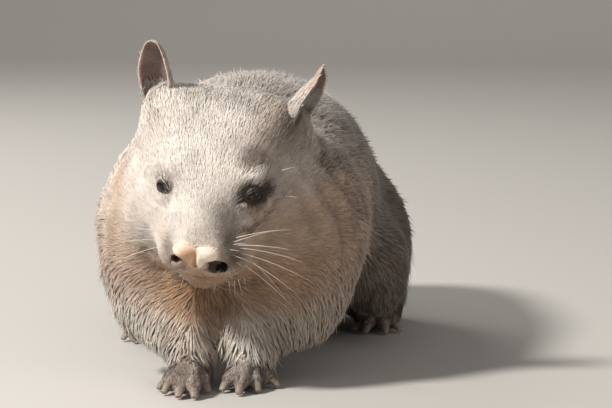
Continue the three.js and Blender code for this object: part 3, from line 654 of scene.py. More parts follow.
def make_nose():
    body, hollow = bmesh.new(), bmesh.new()
    for side, sign in SIDES.items():
        for centre, radii in (PAD_LOBE, PAD_WING):
            egg_shape(body, (sign * centre[0], *centre[1:]), radii)
        centre, radii, tilt = NOSTRIL[side]
        egg_shape(hollow, centre, radii, (-NOSTRIL_RISE, tilt, 0))
    egg_shape(body, *PAD_STEM)
    egg_shape(body, *PAD_TOP)
    meshes = []
    for name, shape in (("pad", body), ("nostrils", hollow)):
        mesh = bpy.data.meshes.new(name)
        shape.to_mesh(mesh)
        shape.free()
        meshes.append(mesh)
    cutter = bpy.data.objects.new("nostrils", meshes[1])
    bpy.context.scene.collection.objects.link(cutter)
    voxels = ("REMESH", {"mode": "VOXEL", "voxel_size": NOSE_STEP})
    cut = ("BOOLEAN", {"object": cutter, "solver": "EXACT"})
    pad = plain_mesh("nose", meshes[0], [voxels, ("SMOOTH", {"factor": 0.5, "iterations": 16})])
    pad = plain_mesh("nose", pad, [cut, voxels, ("SMOOTH", {"factor": 0.5, "iterations": 4})])
    bpy.data.objects.remove(cutter)
    largest_surface(pad)
    points, normals, _ = mesh_arrays(pad)
    middle = np.exp(-((points[:, 0] / GROOVE_WIDTH) ** 2)) * ramp(points[:, 1], -0.085, -0.098)
    middle *= 0.3 + 0.7 * ramp(points[:, 2], -0.004, -0.016)
    points = points - normals * (GROOVE_DEPTH * middle)[:, None]
    colour = np.tile(linear(PAD_TAN), (len(points), 1))
    # The left lobe is painted cream as if lit: painted sunlight
    sunny = ramp(points[:, 0], -0.0005, 0.0035) * ramp(points[:, 2], -0.032, -0.025)
    colour = laid_over(colour, PAD_LIT_CREAM, 0.9 * sunny)
    # A cream spot on the outer top of the right lobe: painted highlight
    colour = laid_over(colour, PAD_LIT_CREAM, 0.8 * spot(points, (-0.021, -0.10, -0.0105), (0.006, 0.012, 0.006)))
    colour = laid_over(colour, CREAM, 0.6 * ramp(points[:, 2], -0.009, -0.003))
    low = ramp(points[:, 2], -0.0235, -0.0275) * ramp(np.abs(points[:, 0]), 0.006, 0.010)
    colour = laid_over(colour, PAD_MAUVE, 0.9 * low)
    colour = laid_over(colour, UMBER, 0.6 * middle * ramp(points[:, 2], -0.008, -0.028))
    # Each nostril opening is painted soot: painted shade inside the nostrils
    for side, (centre, radii, _) in NOSTRIL.items():
        inner = (radii[0] * 0.8, 0.0115, radii[2] * 0.85)
        colour = laid_over(colour, SOOT, 2.4 * spot(points, (centre[0], -0.094, centre[2]), inner))
    # A soot spot over the left wing of the pad: painted shade
    colour = laid_over(colour, SOOT, 1.3 * spot(points, (0.029, -0.090, -0.029), (0.008, 0.012, 0.009)))
    points[:, 0] += NOSE_SHIFT
    world = points @ turn_to_world.T + np.array(HEAD_PLACE)
    put_points(pad, world)
    colour_mesh(pad, colour)
    pad.shade_smooth()
    return pad


nose_mesh = make_nose()
nose_mesh.materials.append(coat_material("nose leather", 0.42, 0.12, 0.35, 0.1))
nose = bpy.data.objects.new("nose_pad", nose_mesh)
bpy.context.scene.collection.objects.link(nose)
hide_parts("nose")
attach(nose, "root")

# The eyes
# Small dark brown balls with a wet clear front, set deep under the brow. Each looks forwards and
# outwards.
EYE_RADIUS = 0.009
CORNEA_RISE = 0.0007
IRIS_ANGLE = math.radians(44)
PUPIL_ANGLE = math.radians(20)
EYE_RINGS = 40
EYE_SIDES = 56


def eye_frame(side):
    """The middle of an eye, and its outward, rightward and upward directions."""
    low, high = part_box(f"eye_{side}")
    sign = SIDES[side]
    out = Vector(turn_to_world @ np.array((sign * EYE_OUT.x, EYE_OUT.y, EYE_OUT.z)))
    up = Vector(turn_to_world @ np.array((0, 0.1, 1)))
    across = up.cross(out).normalized()
    return (low + high) / 2, out, across, out.cross(across)


def from_eye(side, angle, around, radius):
    """A point by its angle off the eye's axis, its angle round it and its distance from the middle."""
    middle, out, across, up = eye_frame(side)
    flat = across * math.cos(around) + up * math.sin(around)
    return middle + (out * math.cos(angle) + flat * math.sin(angle)) * radius


def eye_material():
    material = bpy.data.materials.new("wet dark eye")
    material.use_nodes = True
    nodes, link = material.node_tree.nodes, material.node_tree.links.new
    surface = nodes["Principled BSDF"]
    surface.inputs["Roughness"].default_value = 0.06
    surface.inputs["Specular IOR Level"].default_value = 0.2
    surface.inputs["Coat Weight"].default_value = 0.3
    surface.inputs["Coat Roughness"].default_value = 0.02
    painted = nodes.new("ShaderNodeAttribute")
    painted.attribute_name = "coat"
    fibres = nodes.new("ShaderNodeTexNoise")
    fibres.inputs["Scale"].default_value = 900
    place = nodes.new("ShaderNodeTexCoord")
    tint = nodes.new("ShaderNodeVectorMath")
    tint.operation = "SCALE"
    strength = nodes.new("ShaderNodeMapRange")
    strength.inputs["To Min"].default_value = 0.5
    strength.inputs["To Max"].default_value = 1.5
    link(place.outputs["Object"], fibres.inputs["Vector"])
    link(fibres.outputs["Fac"], strength.inputs["Value"])
    link(painted.outputs["Color"], tint.inputs[0])
    link(strength.outputs[0], tint.inputs["Scale"])
    link(tint.outputs[0], surface.inputs["Base Color"])
    return material


def make_eye(side, material):
    points, colours = [from_eye(side, 0, 0, EYE_RADIUS + CORNEA_RISE)], [linear("#0c0807")]
    for ring in range(1, EYE_RINGS):
        angle = math.pi * (ring / EYE_RINGS) ** 1.2
        bulge = max(0, 1 - (angle / IRIS_ANGLE) ** 2)
        for step in range(EYE_SIDES):
            around = 2 * math.pi * step / EYE_SIDES
            points.append(from_eye(side, angle, around, EYE_RADIUS + CORNEA_RISE * bulge))
            iris = linear("#2b180e") if angle < IRIS_ANGLE else linear("#1d1410")
            colours.append(linear("#0c0807") if angle < PUPIL_ANGLE else iris)
    points.append(from_eye(side, math.pi, 0, EYE_RADIUS))
    colours.append(linear("#1d1410"))
    last = len(points) - 1
    faces = [(0, 1 + s, 1 + (s + 1) % EYE_SIDES) for s in range(EYE_SIDES)]
    for ring in range(EYE_RINGS - 2):
        for s in range(EYE_SIDES):
            a, b = 1 + ring * EYE_SIDES + s, 1 + ring * EYE_SIDES + (s + 1) % EYE_SIDES
            faces.append((a, a + EYE_SIDES, b + EYE_SIDES, b))
    base = 1 + (EYE_RINGS - 2) * EYE_SIDES
    faces += [(base + s, last, base + (s + 1) % EYE_SIDES) for s in range(EYE_SIDES)]
    mesh = bpy.data.meshes.new(f"eyeball_{side}")
    mesh.from_pydata(points, [], faces)
    colour_mesh(mesh, np.array(colours))
    mesh.shade_smooth()
    mesh.materials.append(material)
    eye = bpy.data.objects.new(f"eyeball_{side}", mesh)
    bpy.context.scene.collection.objects.link(eye)
    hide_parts(f"eye_{side}")
    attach(eye, "root")


wet_dark = eye_material()
for side in SIDES:
    make_eye(side, wet_dark)

# The lids
# Dark bare rims round each eye, thicker above. They follow the skin outwards and end under the
# short hair of the face, and the skin itself is drawn in behind the eyeball.
# Half width of the opening, its height above and below, and the hole in the skin, in radians
LID_OPENING = {"right": (0.50, 0.42, 0.36, 0.62), "left": (0.96, 0.56, 0.42, 1.31)}
LID_SHADE = {"right": 1.6, "left": 0.8} # how far out the dark rim reaches
LID_ROWS = 14
LID_SIDES = 72
RIM = 0.0013 # thickness of the rim
LID_COVER = 0.0016 # how far out of the eyeball the skin round it lies at least
SOCKET = 0.0075


def make_lids(side, ground):
    wide, high, low, hole = LID_OPENING[side]
    reach = min(hole + 0.3, 1.45)
    middle = eye_frame(side)[0]
    points, shades = [], []
    for row in range(LID_ROWS + 1):
        for step in range(LID_SIDES):
            around = 2 * math.pi * step / LID_SIDES
            tall = high if math.sin(around) > 0 else low
            opening = 1 / math.sqrt((math.cos(around) / wide) ** 2 + (math.sin(around) / tall) ** 2)
            out = (row - 2) / (LID_ROWS - 2)
            angle = opening + (reach - opening) * max(out, 0) ** 1.3 - (0.09, 0.02, 0.0)[min(row, 2)]
            direction = (from_eye(side, angle, around, 1) - middle).normalized()
            hit = ground.ray_cast(middle + direction * 0.004, direction, 0.03)[0]
            surface = max((hit - middle).length if hit else 0, EYE_RADIUS + LID_COVER)
            rim = EYE_RADIUS + (-0.0003, 0.0002, RIM)[min(row, 2)]
            crease = 0.0009 * math.exp(-(((out - 0.35) / 0.08) ** 2)) * max(0, math.sin(around))
            under = min(max((angle - hole + 0.06) / 0.12, 0), 1)
            outer = max(surface + 0.0003 - 0.0018 * under, EYE_RADIUS + RIM * (1 - out)) - crease
            distance = rim + (outer - rim) * min(max(out * 4, 0), 1)
            points.append(middle + direction * distance)
            shades.append(math.exp(-((max(out, 0) / LID_SHADE[side]) ** 2)))
    count = LID_SIDES
    faces = [
        (r * count + s, (r + 1) * count + s, (r + 1) * count + (s + 1) % count, r * count + (s + 1) % count)
        for r in range(LID_ROWS)
        for s in range(count)
    ]
    mesh = bpy.data.meshes.new(f"lids_{side}")
    mesh.from_pydata(points, [], faces)
    world = np.array([tuple(p) for p in points])
    colour_mesh(mesh, laid_over(markings_and_painted_light(world) * 0.95, SOOT, np.array(shades)))
    result = plain_mesh(f"lids_{side}", mesh, [("SUBSURF", {"levels": 1, "render_levels": 1})])
    result.shade_smooth()
    result.materials.append(bare_lid)
    lids = bpy.data.objects.new(f"lids_{side}", result)
    bpy.context.scene.collection.objects.link(lids)
    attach(lids, "root")


def draw_in(points, side):
    """Skin drawn in behind an eyeball, and laid over it outside the lids."""
    middle, out, _, _ = (np.array(v) for v in eye_frame(side))
    gap = points - middle
    away = np.maximum(np.linalg.norm(gap, axis=1), 1e-6)
    hole = LID_OPENING[side][3]
    pull = ramp(gap @ out / away, math.cos(hole), math.cos(hole - 0.14)) * (away < 0.03)
    front = gap @ out / away > -0.2
    over = np.where(front, np.maximum(away, EYE_RADIUS + LID_COVER), away)
    return middle + gap * ((over + (np.minimum(SOCKET, over) - over) * pull) / away)[:, None]


bare_lid = coat_material("bare lid", 0.45, 0.2, 0.4, 0.05)
open_skin = skin_points
skin_ground = BVHTree.FromPolygons(skin_points.tolist(), [tuple(p.vertices) for p in skin_mesh.polygons])
for side in SIDES:
    make_lids(side, skin_ground)
    open_skin = draw_in(open_skin, side)
put_points(skin_mesh, open_skin)

# The ears
# Thin upright leaves of skin rolled into a cup, with short hair outside and a bare mauve inside.
# The right one opens forwards and the left one sideways.
EAR_ROOT = (0.066, 0.046, 0.052)
EAR_LENGTH = 0.086
EAR_WIDTH = 0.039
EAR_WALL = 0.0026
EAR_POSE = {"right": (14, 0, 24), "left": (29, -2, 62)} # lean, back, turn
EAR_FLARE = 2.6 # how much wider the leaf grows towards its root
EAR_POINT = {"right": 0.42, "left": 0.95} # how sharply the leaf ends
EAR_ROWS = 44
EAR_COLUMNS = 30
EAR_CONE_HEIGHT = {"right": 0.025, "left": 0.020}
EAR_CONE_REACH = 0.034
EAR_CONE_SHIFT = (0.015, -0.008) # towards the crown, and forwards
EAR_MAUVE = "#6c5a57"
EAR_RIM = "#cfb2a2"


def ear_point(side, t, a, cut):
    """A point of the leaf: t along it, a across from -1 to 1, cut in from the outer face."""
    tip = max(0.0, t - 0.40) / 0.602
    half = EAR_WIDTH / 2 * (0.66 + 0.34 * math.sin(math.pi / 2 * min(max(t, 0) / 0.45, 1)))
    half *= max(1 - tip**2.1, 0.0) ** EAR_POINT[side] if tip else 1
    half = max(half, 0.0012) * (1 + EAR_FLARE * max(0, 0.34 - t) ** 1.5)
    roll = math.radians(112 - 34 * max(t, 0))
    wave = 0.0008 * math.sin(9 * t + 3 * a)
    wide, deep = half - cut + wave, half * 0.72 - cut + wave
    x = wide * math.sin(roll * a)
    y = deep * math.cos(roll * a) + 0.005 * t * t + (0.007 * max(t - 0.8, 0) / 0.2 if side == "left" else 0)
    x += 0.006 * max(t - 0.5, 0) ** 2 / 0.25 if side == "right" else 0
    return Vector((x, y, EAR_LENGTH * t))


def ear_matrix(side):
    lean, back, turn = EAR_POSE[side]
    sign = SIDES[side]
    spin = Matrix.Rotation(math.radians(sign * turn), 3, "Z")
    leant = Matrix.Rotation(math.radians(sign * lean), 3, "Y")
    rotation = Matrix.Rotation(math.radians(-back), 3, "X") @ leant @ spin
    place = Matrix.Translation((sign * EAR_ROOT[0], EAR_ROOT[1], EAR_ROOT[2])) @ rotation.to_4x4()
    return head_to_world @ place


def make_ear(side):
    rows, colours = [], []
    for r in range(EAR_ROWS + 1):
        t = -0.16 + 1.16 * (r / EAR_ROWS) ** 0.9
        wall = EAR_WALL * (1 - 0.55 * max(t, 0))
        flare = 1 + 0.35 * max(0, 0.12 - t)
        ring = []
        for c in range(EAR_COLUMNS + 1):
            ring.append((ear_point(side, t, (1 - 2 * c / EAR_COLUMNS), 0), "outside", c))
        for c in range(EAR_COLUMNS + 1):
            ring.append((ear_point(side, t, -(1 - 2 * c / EAR_COLUMNS) * 0.985, wall), "inside", c))
        rows.append([p for p, _, _ in ring])
        for _, face, c in ring:
            rim = max(abs(1 - 2 * c / EAR_COLUMNS) ** 10, max(0, t - 0.9) * 8)
            bare_side = linear(EAR_MAUVE) * (0.55 + 0.6 * min(t + 0.2, 1))
            base = linear(SAND) * (1 - 0.25 * t) if face == "outside" else bare_side
            colours.append(base + (linear(EAR_RIM) - base) * min(rim, 1))
    matrix = ear_matrix(side)
    count = len(rows[0])
    points = [matrix @ p for row in rows for p in row]
    faces = [
        (r * count + c, r * count + (c + 1) % count, (r + 1) * count + (c + 1) % count, (r + 1) * count + c)
        for r in range(EAR_ROWS)
        for c in range(count)
    ]
    for end, ring in ((0, range(count)), (EAR_ROWS, range(count))):
        half = EAR_COLUMNS + 1
        for c in range(EAR_COLUMNS):
            quad = [end * count + k for k in (c, c + 1, count - 2 - c, count - 1 - c)]
            faces.append(tuple(quad if end else quad[::-1]))
    mesh = bpy.data.meshes.new(f"ear_skin_{side}")
    mesh.from_pydata([tuple(p) for p in points], [], faces)
    colour_mesh(mesh, np.array(colours))
    shape = bmesh.new()
    shape.from_mesh(mesh)
    bmesh.ops.recalc_face_normals(shape, faces=shape.faces)
    shape.to_mesh(mesh)
    shape.free()
    mesh.shade_smooth()
    mesh.materials.append(coat_material("ear skin", 0.6, 0.25, 0.5, 0.2))
    ear = bpy.data.objects.new(f"ear_leaf_{side}", mesh)
    bpy.context.scene.collection.objects.link(ear)
    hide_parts(f"ear_{side}")
    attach(ear, "root")


def raise_round_ear(points, side):
    """Skin drawn up along an ear, so that it stands on a broad cone."""
    matrix = np.array(ear_matrix(side))
    root = matrix[:3, 3] + turn_to_world @ (-SIDES[side] * EAR_CONE_SHIFT[0], EAR_CONE_SHIFT[1], 0)
    near = spot(points, root, (EAR_CONE_REACH,) * 3)
    return points + (matrix[:3, 2] * EAR_CONE_HEIGHT[side]) * near[:, None]


raised = open_skin
for side in SIDES:
    make_ear(side)
    raised = raise_round_ear(raised, side)
put_points(skin_mesh, raised)

# The claws
# Blunt worn horn, round on top, with fine growth rings, each set in the end of its toe.
RING_HEIGHT = 0.00025
RING_SPACING = 0.0026
CLAW_STEP = 0.0009
CLAW_FULL = 0.0009 # the rounding draws a claw in by about this much
HORN_DARK = "#4a3f38"
HORN_PALE = "#a39689"


def make_claw(node, material):
    rounding = ("REMESH", {"mode": "VOXEL", "voxel_size": CLAW_STEP})
    softening = ("SMOOTH", {"factor": 0.5, "iterations": 10})
    mesh = plain_mesh(node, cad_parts[node].data.copy(), [rounding, softening])
    points, normals, _ = mesh_arrays(mesh)
    middle = points.mean(0)
    _, _, axes = np.linalg.svd(points - middle)
    axis = axes[0] * (-1 if axes[0][2] > 0 else 1) # towards the tip, which is the lower end
    far = (points - middle) @ axis
    rings = np.sin(2 * math.pi * far / RING_SPACING + 1.3 * len(node))
    end = ramp(far, far.max() - 0.004, far.max())
    points = points + normals * (CLAW_FULL + RING_HEIGHT * rings * (1 - end))[:, None]
    share = (far - far.min()) / (far.max() - far.min())
    pale = 0.1 + 0.5 * share + 0.12 * rings
    colour = laid_over(np.tile(linear(HORN_DARK), (len(points), 1)), HORN_PALE, pale)
    points[:, 2] = np.maximum(points[:, 2], 0.0002)
    put_points(mesh, points)
    colour_mesh(mesh, colour)
    mesh.shade_smooth()
    mesh.materials.clear()
    mesh.materials.append(material)
    claw = bpy.data.objects.new(node.replace("claw", "horn"), mesh)
    bpy.context.scene.collection.objects.link(claw)
    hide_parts(node)
    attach(claw, "root")


horn = coat_material("worn horn", 0.38, 0.18, 0.3, 0)
for node in sorted(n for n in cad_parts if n.startswith("claw")):
    make_claw(node, horn)

# The coat
# Fine tufts of hair rooted in the skin, each a closed tapered lock with a ridge along its back.
# They follow the lie of the hair: back from the nose, along the trunk and down the limbs.
TUFTS = 124000
PIECE_LIMIT = 195000 # triangles in one piece of coat
SHORT_HAIR = ((0.0, 1.0), (0.45, 1.0), (1.0, 0.0)) # places along a tuft, and its width there
LONG_HAIR = ((0.0, 0.9), (0.3, 1.0), (0.66, 0.8), (1.0, 0.0))
RIDGE = 0.3 # a tuft's thickness by its width
ROOT_SINK = 0.0006
PATCH = 0.003 # a tuft's share of the unwrap
NOSE_TIP = (0.0, -0.112, -0.02)
CHIN_HAIR = ((0.0, -0.066, -0.078), (0.05, 0.04, 0.018)) # where it is longer
EAR_COVER = {"right": 0.30, "left": 0.5} # how far up its cup each ear is hairy
EAR_TUFTS = 3000
draw = np.random.default_rng(11)


def unit(vectors):
    return vectors / np.maximum(np.linalg.norm(vectors, axis=-1, keepdims=True), 1e-9)


def on_head(points):
    return ramp(np.linalg.norm(in_head(points) * (1, 1, 1.1), axis=1), 0.165, 0.115)


def by_ear(points):
    """How near points are to an ear's root, and the way that ear points."""
    near, lean = np.zeros(len(points)), np.zeros((len(points), 3))
    for side in SIDES:
        matrix = np.array(ear_matrix(side))
        own = spot(points, matrix[:3, 3] + matrix[:3, 2] * 0.012, (0.026, 0.026, 0.026))
        near += own
        lean += own[:, None] * matrix[:3, 2]
    return np.clip(near * 1.3, 0, 1), lean


def lie_of_coat(points, normals):
    """The direction that the hair points in, along the skin."""
    x, y, z = points.T
    trunk = np.stack([0.12 * np.sign(x), np.ones(len(x)), -0.35 - 0.9 * ramp(z, 0.2, 0.06)], 1)
    limbs = np.stack([0.1 * np.sign(x), 0.25 * np.ones(len(x)), -np.ones(len(x))], 1)
    feet = np.stack([0.0 * x, -np.ones(len(x)), -0.25 * np.ones(len(x))], 1)
    from_nose = unit(in_head(points) - NOSE_TIP) @ turn_to_world.T
    hanging = ramp(y, -0.1, -0.17) * ramp(z, 0.15, 0.09)
    haunch = ramp(y, 0.02, 0.1) * ramp(z, 0.13, 0.06)
    lie = unit(trunk) + (unit(limbs) - unit(trunk)) * np.maximum(hanging, haunch)[:, None]
    lie = lie + (from_nose - lie) * on_head(points)[:, None]
    near, lean = by_ear(points)
    lie = lie + (lean - lie) * near[:, None]
    lie = lie + (unit(feet) - lie) * ramp(z, 0.042, 0.026)[:, None]
    return unit(lie - normals * np.sum(lie * normals, 1)[:, None])


def hair_length(points):
    head = in_head(points)
    away = np.linalg.norm(head - NOSE_TIP, axis=1)
    length = 0.0042 + 0.0068 * ramp(away, 0.015, 0.12) + 0.006 * ramp(away, 0.14, 0.26)
    length = length + 0.013 * ramp(points[:, 1], -0.1, -0.17) * ramp(points[:, 2], 0.14, 0.09)
    length = length + 0.008 * by_ear(points)[0] + 0.006 * spot(head, *CHIN_HAIR)
    return length * (1 - 0.72 * ramp(points[:, 2], 0.045, 0.028))


def bare(points):
    """Where no hair grows: the eyes, the nose pad, the lips and the soles."""
    head = in_head(points)
    away, above = line_distance(head, MOUTH)
    none = (points[:, 2] < 0.0035) | ((away < 0.0024) & (np.abs(head[:, 0]) < 0.038))
    none |= np.minimum(*pad_distance(head, 1)) < 1.05
    none |= (np.minimum(*pad_distance(head, 0)) < 1) & (head[:, 1] > -0.091) & (head[:, 1] < -0.06)
    for side in SIDES:
        middle, out, across, up = (np.array(v) for v in eye_frame(side))
        gap = points - middle
        far = np.linalg.norm(gap, axis=1)
        angle = np.arccos(np.clip(gap @ out / far, -1, 1))
        around = np.arctan2(gap @ up, gap @ across)
        wide, high, low, hole = LID_OPENING[side]
        tall = np.where(around > 0, high, low)
        edge = 1 / np.sqrt((np.cos(around) / wide) ** 2 + (np.sin(around) / tall) ** 2)
        none |= (far < 0.022) & (angle < np.maximum(edge + 0.05, hole - 0.02))
    return none


def triangles_of(mesh):
    mesh.calc_loop_triangles()
    corners = np.empty(len(mesh.loop_triangles) * 3, np.int32)
    mesh.loop_triangles.foreach_get("vertices", corners)
    return corners.reshape(-1, 3)


def scattered(points, corners, weight, count):
    """Roots spread evenly over the triangles by weight: the triangle and the place in it of each."""
    a, b, c = (points[corners[:, k]] for k in range(3))
    share = np.linalg.norm(np.cross(b - a, c - a), axis=1) * weight[corners].mean(1)
    edge = np.cumsum(share) / share.sum()
    chosen = np.searchsorted(edge, (np.arange(count) + draw.random(count)) / count)
    u, v = draw.random((2, count))
    flip = u + v > 1
    u, v = np.where(flip, 1 - u, u), np.where(flip, 1 - v, v)
    return chosen.clip(0, len(corners) - 1), np.stack([1 - u - v, u, v], 1)


def unwrap(points, corners):
    """Each triangle's corners on an unwrap of that stretch of skin, from 0 to 1."""
    used, index = np.unique(corners, return_inverse=True)
    mesh = bpy.data.meshes.new("unwrap")
    mesh.from_pydata(points[used], [], index.reshape(-1, 3).tolist())
    mesh.uv_layers.new(name="flat")
    patch = bpy.data.objects.new("unwrap", mesh)
    bpy.context.scene.collection.objects.link(patch)
    bpy.context.view_layer.objects.active = patch
    patch.select_set(True)
    bpy.ops.object.mode_set(mode="EDIT")
    bpy.ops.mesh.select_all(action="SELECT")
    bpy.ops.uv.smart_project(angle_limit=math.radians(70), island_margin=0.003)
    bpy.ops.object.mode_set(mode="OBJECT")
    flat = np.empty(len(mesh.loops) * 2, np.float32)
    mesh.uv_layers["flat"].data.foreach_get("uv", flat)
    bpy.data.objects.remove(patch)
    bpy.data.meshes.remove(mesh)
    return 0.003 + 0.99 * flat.reshape(-1, 3, 2).astype(float)


def tuft_lines(ground, coat, steps):
    """The places along each tuft, at their height over the skin, and the skin's normal there."""
    count = len(coat["root"])
    places = np.empty((count, len(steps), 3))
    ups = np.empty_like(places)
    for k, (t, _) in enumerate(steps):
        guess = coat["root"] + coat["lie"] * (coat["length"] * t)[:, None]
        height = coat["depth"] * (0.15 + 0.85 * t) - ROOT_SINK * (t == 0)
        for n in range(count if t else 0):
            near, up, _, _ = ground.find_nearest(guess[n].tolist(), 0.03)
            follows = near is not None and up @ Vector(coat["up"][n]) > 0.25
            places[n, k] = near if follows else guess[n]
            ups[n, k] = up if follows else coat["up"][n]
        if not t:
            places[:, k], ups[:, k] = coat["root"], coat["up"]
        places[:, k] += ups[:, k] * height[:, None]
    return places, ups


def tuft_mesh(name, places, ups, coat, steps):
    """Joined tufts: three points round each place, a point at the tip, and a face under the root."""
    count, last = len(places), len(steps) - 1
    forward = unit(places[:, -1] - places[:, 0])
    corners = 3 * last + 1
    verts, soft, tint = (np.empty((count, corners, 3)) for _ in range(3))
    for k in range(last):
        up = unit(ups[:, k] - forward * np.sum(ups[:, k] * forward, 1)[:, None])
        across = np.cross(forward, up)
        half = (coat["width"] * steps[k][1] / 2)[:, None]
        corner = (-across * half, across * half, up * half * 2 * RIDGE)
        light = coat["root_tone"] + (1 - coat["root_tone"]) * steps[k][0]
        for c in range(3):
            verts[:, 3 * k + c] = places[:, k] + corner[c]
            soft[:, 3 * k + c] = unit(ups[:, k] + 0.3 * corner[c] / half)
            # The ridge along each tuft's back is painted a little lighter: painted highlight
            tint[:, 3 * k + c] = coat["colour"] * (light + (0.05 if c == 2 else 0))[:, None]
    verts[:, -1], soft[:, -1], tint[:, -1] = places[:, last], ups[:, last], coat["colour"] * 1.08
    ring = [(0, 1, 2)]
    for k in range(0, 3 * last - 3, 3):
        for a, b in ((0, 1), (1, 2), (2, 0)):
            ring += [(k + a, k + 3 + b, k + b), (k + a, k + 3 + a, k + 3 + b)]
    top = 3 * last - 3
    ring += [(top + b, top + a, 3 * last) for a, b in ((0, 1), (1, 2), (2, 0))]
    faces = (np.array(ring)[None] + corners * np.arange(count)[:, None, None]).reshape(-1, 3)
    mesh = bpy.data.meshes.new(name)
    mesh.vertices.add(count * corners)
    mesh.vertices.foreach_set("co", verts.astype(np.float32).ravel())
    mesh.loops.add(len(faces) * 3)
    mesh.loops.foreach_set("vertex_index", faces.astype(np.int32).ravel())
    mesh.polygons.add(len(faces))
    mesh.polygons.foreach_set("loop_start", np.arange(0, len(faces) * 3, 3, dtype=np.int32))
    mesh.update(calc_edges=True)
    colour_mesh(mesh, tint.reshape(-1, 3))
    side = np.array((0.0, 1.0, 0.5) * last + (0.5,)) - 0.5
    along = np.repeat([t for t, _ in steps], [3] * last + [1]) - 0.5
    place = coat["flat"][:, None] + PATCH * np.stack([side, along], 1)[None]
    layer = mesh.uv_layers.new(name="OFBake")
    layer.data.foreach_set("uv", place.reshape(-1, 2)[faces.ravel()].astype(np.float32).ravel())
    mesh.shade_smooth()
    mesh.normals_split_custom_set_from_vertices(soft.reshape(-1, 3).tolist())
    return mesh


def split_evenly(members, points, limit):
    """Halves a set of roots along its longest side until each part is small enough for a piece."""
    if len(members) <= limit:
        return [members]
    own = points[members]
    axis = np.argmax(own.max(0) - own.min(0))
    order = members[np.argsort(own[:, axis])]
    parts = math.ceil(len(members) / limit)
    cut = len(members) * (parts // 2) // parts
    return split_evenly(order[:cut], points, limit) + split_evenly(order[cut:], points, limit)


def put_coat(name, ground, coat, points, corners, members, steps):
    """One piece of coat from some of the tufts, with its own unwrap of the skin under it."""
    part = {key: value[members] for key, value in coat.items()}
    used, index = np.unique(part["face"], return_inverse=True)
    part["flat"] = np.einsum("nk,nkd->nd", part["inside"], unwrap(points, corners[used])[index])
    places, ups = tuft_lines(ground, part, steps)
    mesh = tuft_mesh(name, places, ups, part, steps)
    mesh.materials.append(hair)
    piece = bpy.data.objects.new(name, mesh)
    bpy.context.scene.collection.objects.link(piece)
    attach(piece, "root")


def grow_coat():
    points, normals, _ = mesh_arrays(skin_mesh)
    corners = triangles_of(skin_mesh)
    ground = BVHTree.FromPolygons(points.tolist(), corners.tolist())
    length = hair_length(points)
    under = ramp(normals[:, 2], -0.55, -0.85)
    weight = (1 - 0.7 * under) * ~bare(points) / (length * (0.0007 + 0.04 * length))
    weight = weight * (1 + 0.3 * on_head(points))
    face, inside = scattered(points, corners, weight, TUFTS)
    root = np.einsum("nk,nkd->nd", inside, points[corners[face]])
    up = unit(np.einsum("nk,nkd->nd", inside, normals[corners[face]]))
    kept = ~bare(root)
    face, inside, root, up = face[kept], inside[kept], root[kept], up[kept]
    count = len(root)
    lie = lie_of_coat(root, up)
    side = np.cross(up, lie)
    stray = draw.random(count) < 0.06
    lie = unit(lie + side * draw.normal(0, 0.17, count)[:, None])
    long = hair_length(root) * draw.uniform(0.75, 1.25, count) * np.where(stray, 1.25, 1)
    depth = coat_depth(root) * draw.uniform(0.3, 0.9, count) * np.where(stray, 1.7, 1)
    depth = depth * (1 - 0.4 * on_head(root)) + 0.003 * by_ear(root)[0]
    depth = depth + 0.002 * spot(in_head(root), *CHIN_HAIR) * draw.random(count)
    width = (0.0005 + 0.042 * long) * draw.uniform(0.8, 1.25, count) * np.where(stray, 0.7, 1)
    grizzled = np.maximum(ramp(root[:, 1], -0.24, -0.15), ramp(in_head(root)[:, 1], -0.01, 0.04))
    grizzled = np.maximum(grizzled, 0.8 * ramp(root[:, 2], 0.05, 0.03))
    grizzled = np.maximum(grizzled, 0.7 * spot(in_head(root), (0.0, -0.066, -0.075), (0.05, 0.04, 0.02)))
    shade = draw.choice((0.35, 0.75, 1.0, 1.3), count, p=(0.2, 0.25, 0.35, 0.2))
    blotch = np.array([noise.noise(Vector(p) * 55) for p in root.tolist()])
    tone = 1 + (shade - 1) * (0.26 + 0.54 * grizzled) + blotch * (0.18 + 0.32 * grizzled)
    off_nose = ramp(np.minimum(*pad_distance(in_head(root), 0)), 1.0, 1.3)
    mixed = draw.normal(0, 0.0016, root.shape) * off_nose[:, None]
    coat = {
        "root": root, "up": up, "lie": lie, "face": face, "inside": inside, "length": long, "depth": depth,
        "width": width, "colour": markings_and_painted_light(root + mixed) * tone[:, None],
        "root_tone": 0.9 - 0.4 * ramp(hair_length(root), 0.008, 0.022),
    }
    region = np.where(root[:, 1] < -0.1, "front", np.where(root[:, 1] < 0.1, "middle", "rear"))
    region = np.where(on_head(root) > 0.5, "head", region)
    for kind, slot, steps in (
        ("head", "fur_face", SHORT_HAIR), ("front", "fur_leg", LONG_HAIR),
        ("middle", "fur_body", SHORT_HAIR), ("rear", "fur_body", SHORT_HAIR),
    ):
        limit = PIECE_LIMIT // (6 * len(steps) - 8)
        for number, members in enumerate(split_evenly(np.flatnonzero(region == kind), root, limit), 1):
            put_coat(f"coat_{kind}_{number}", ground, coat, points, corners, members, steps)


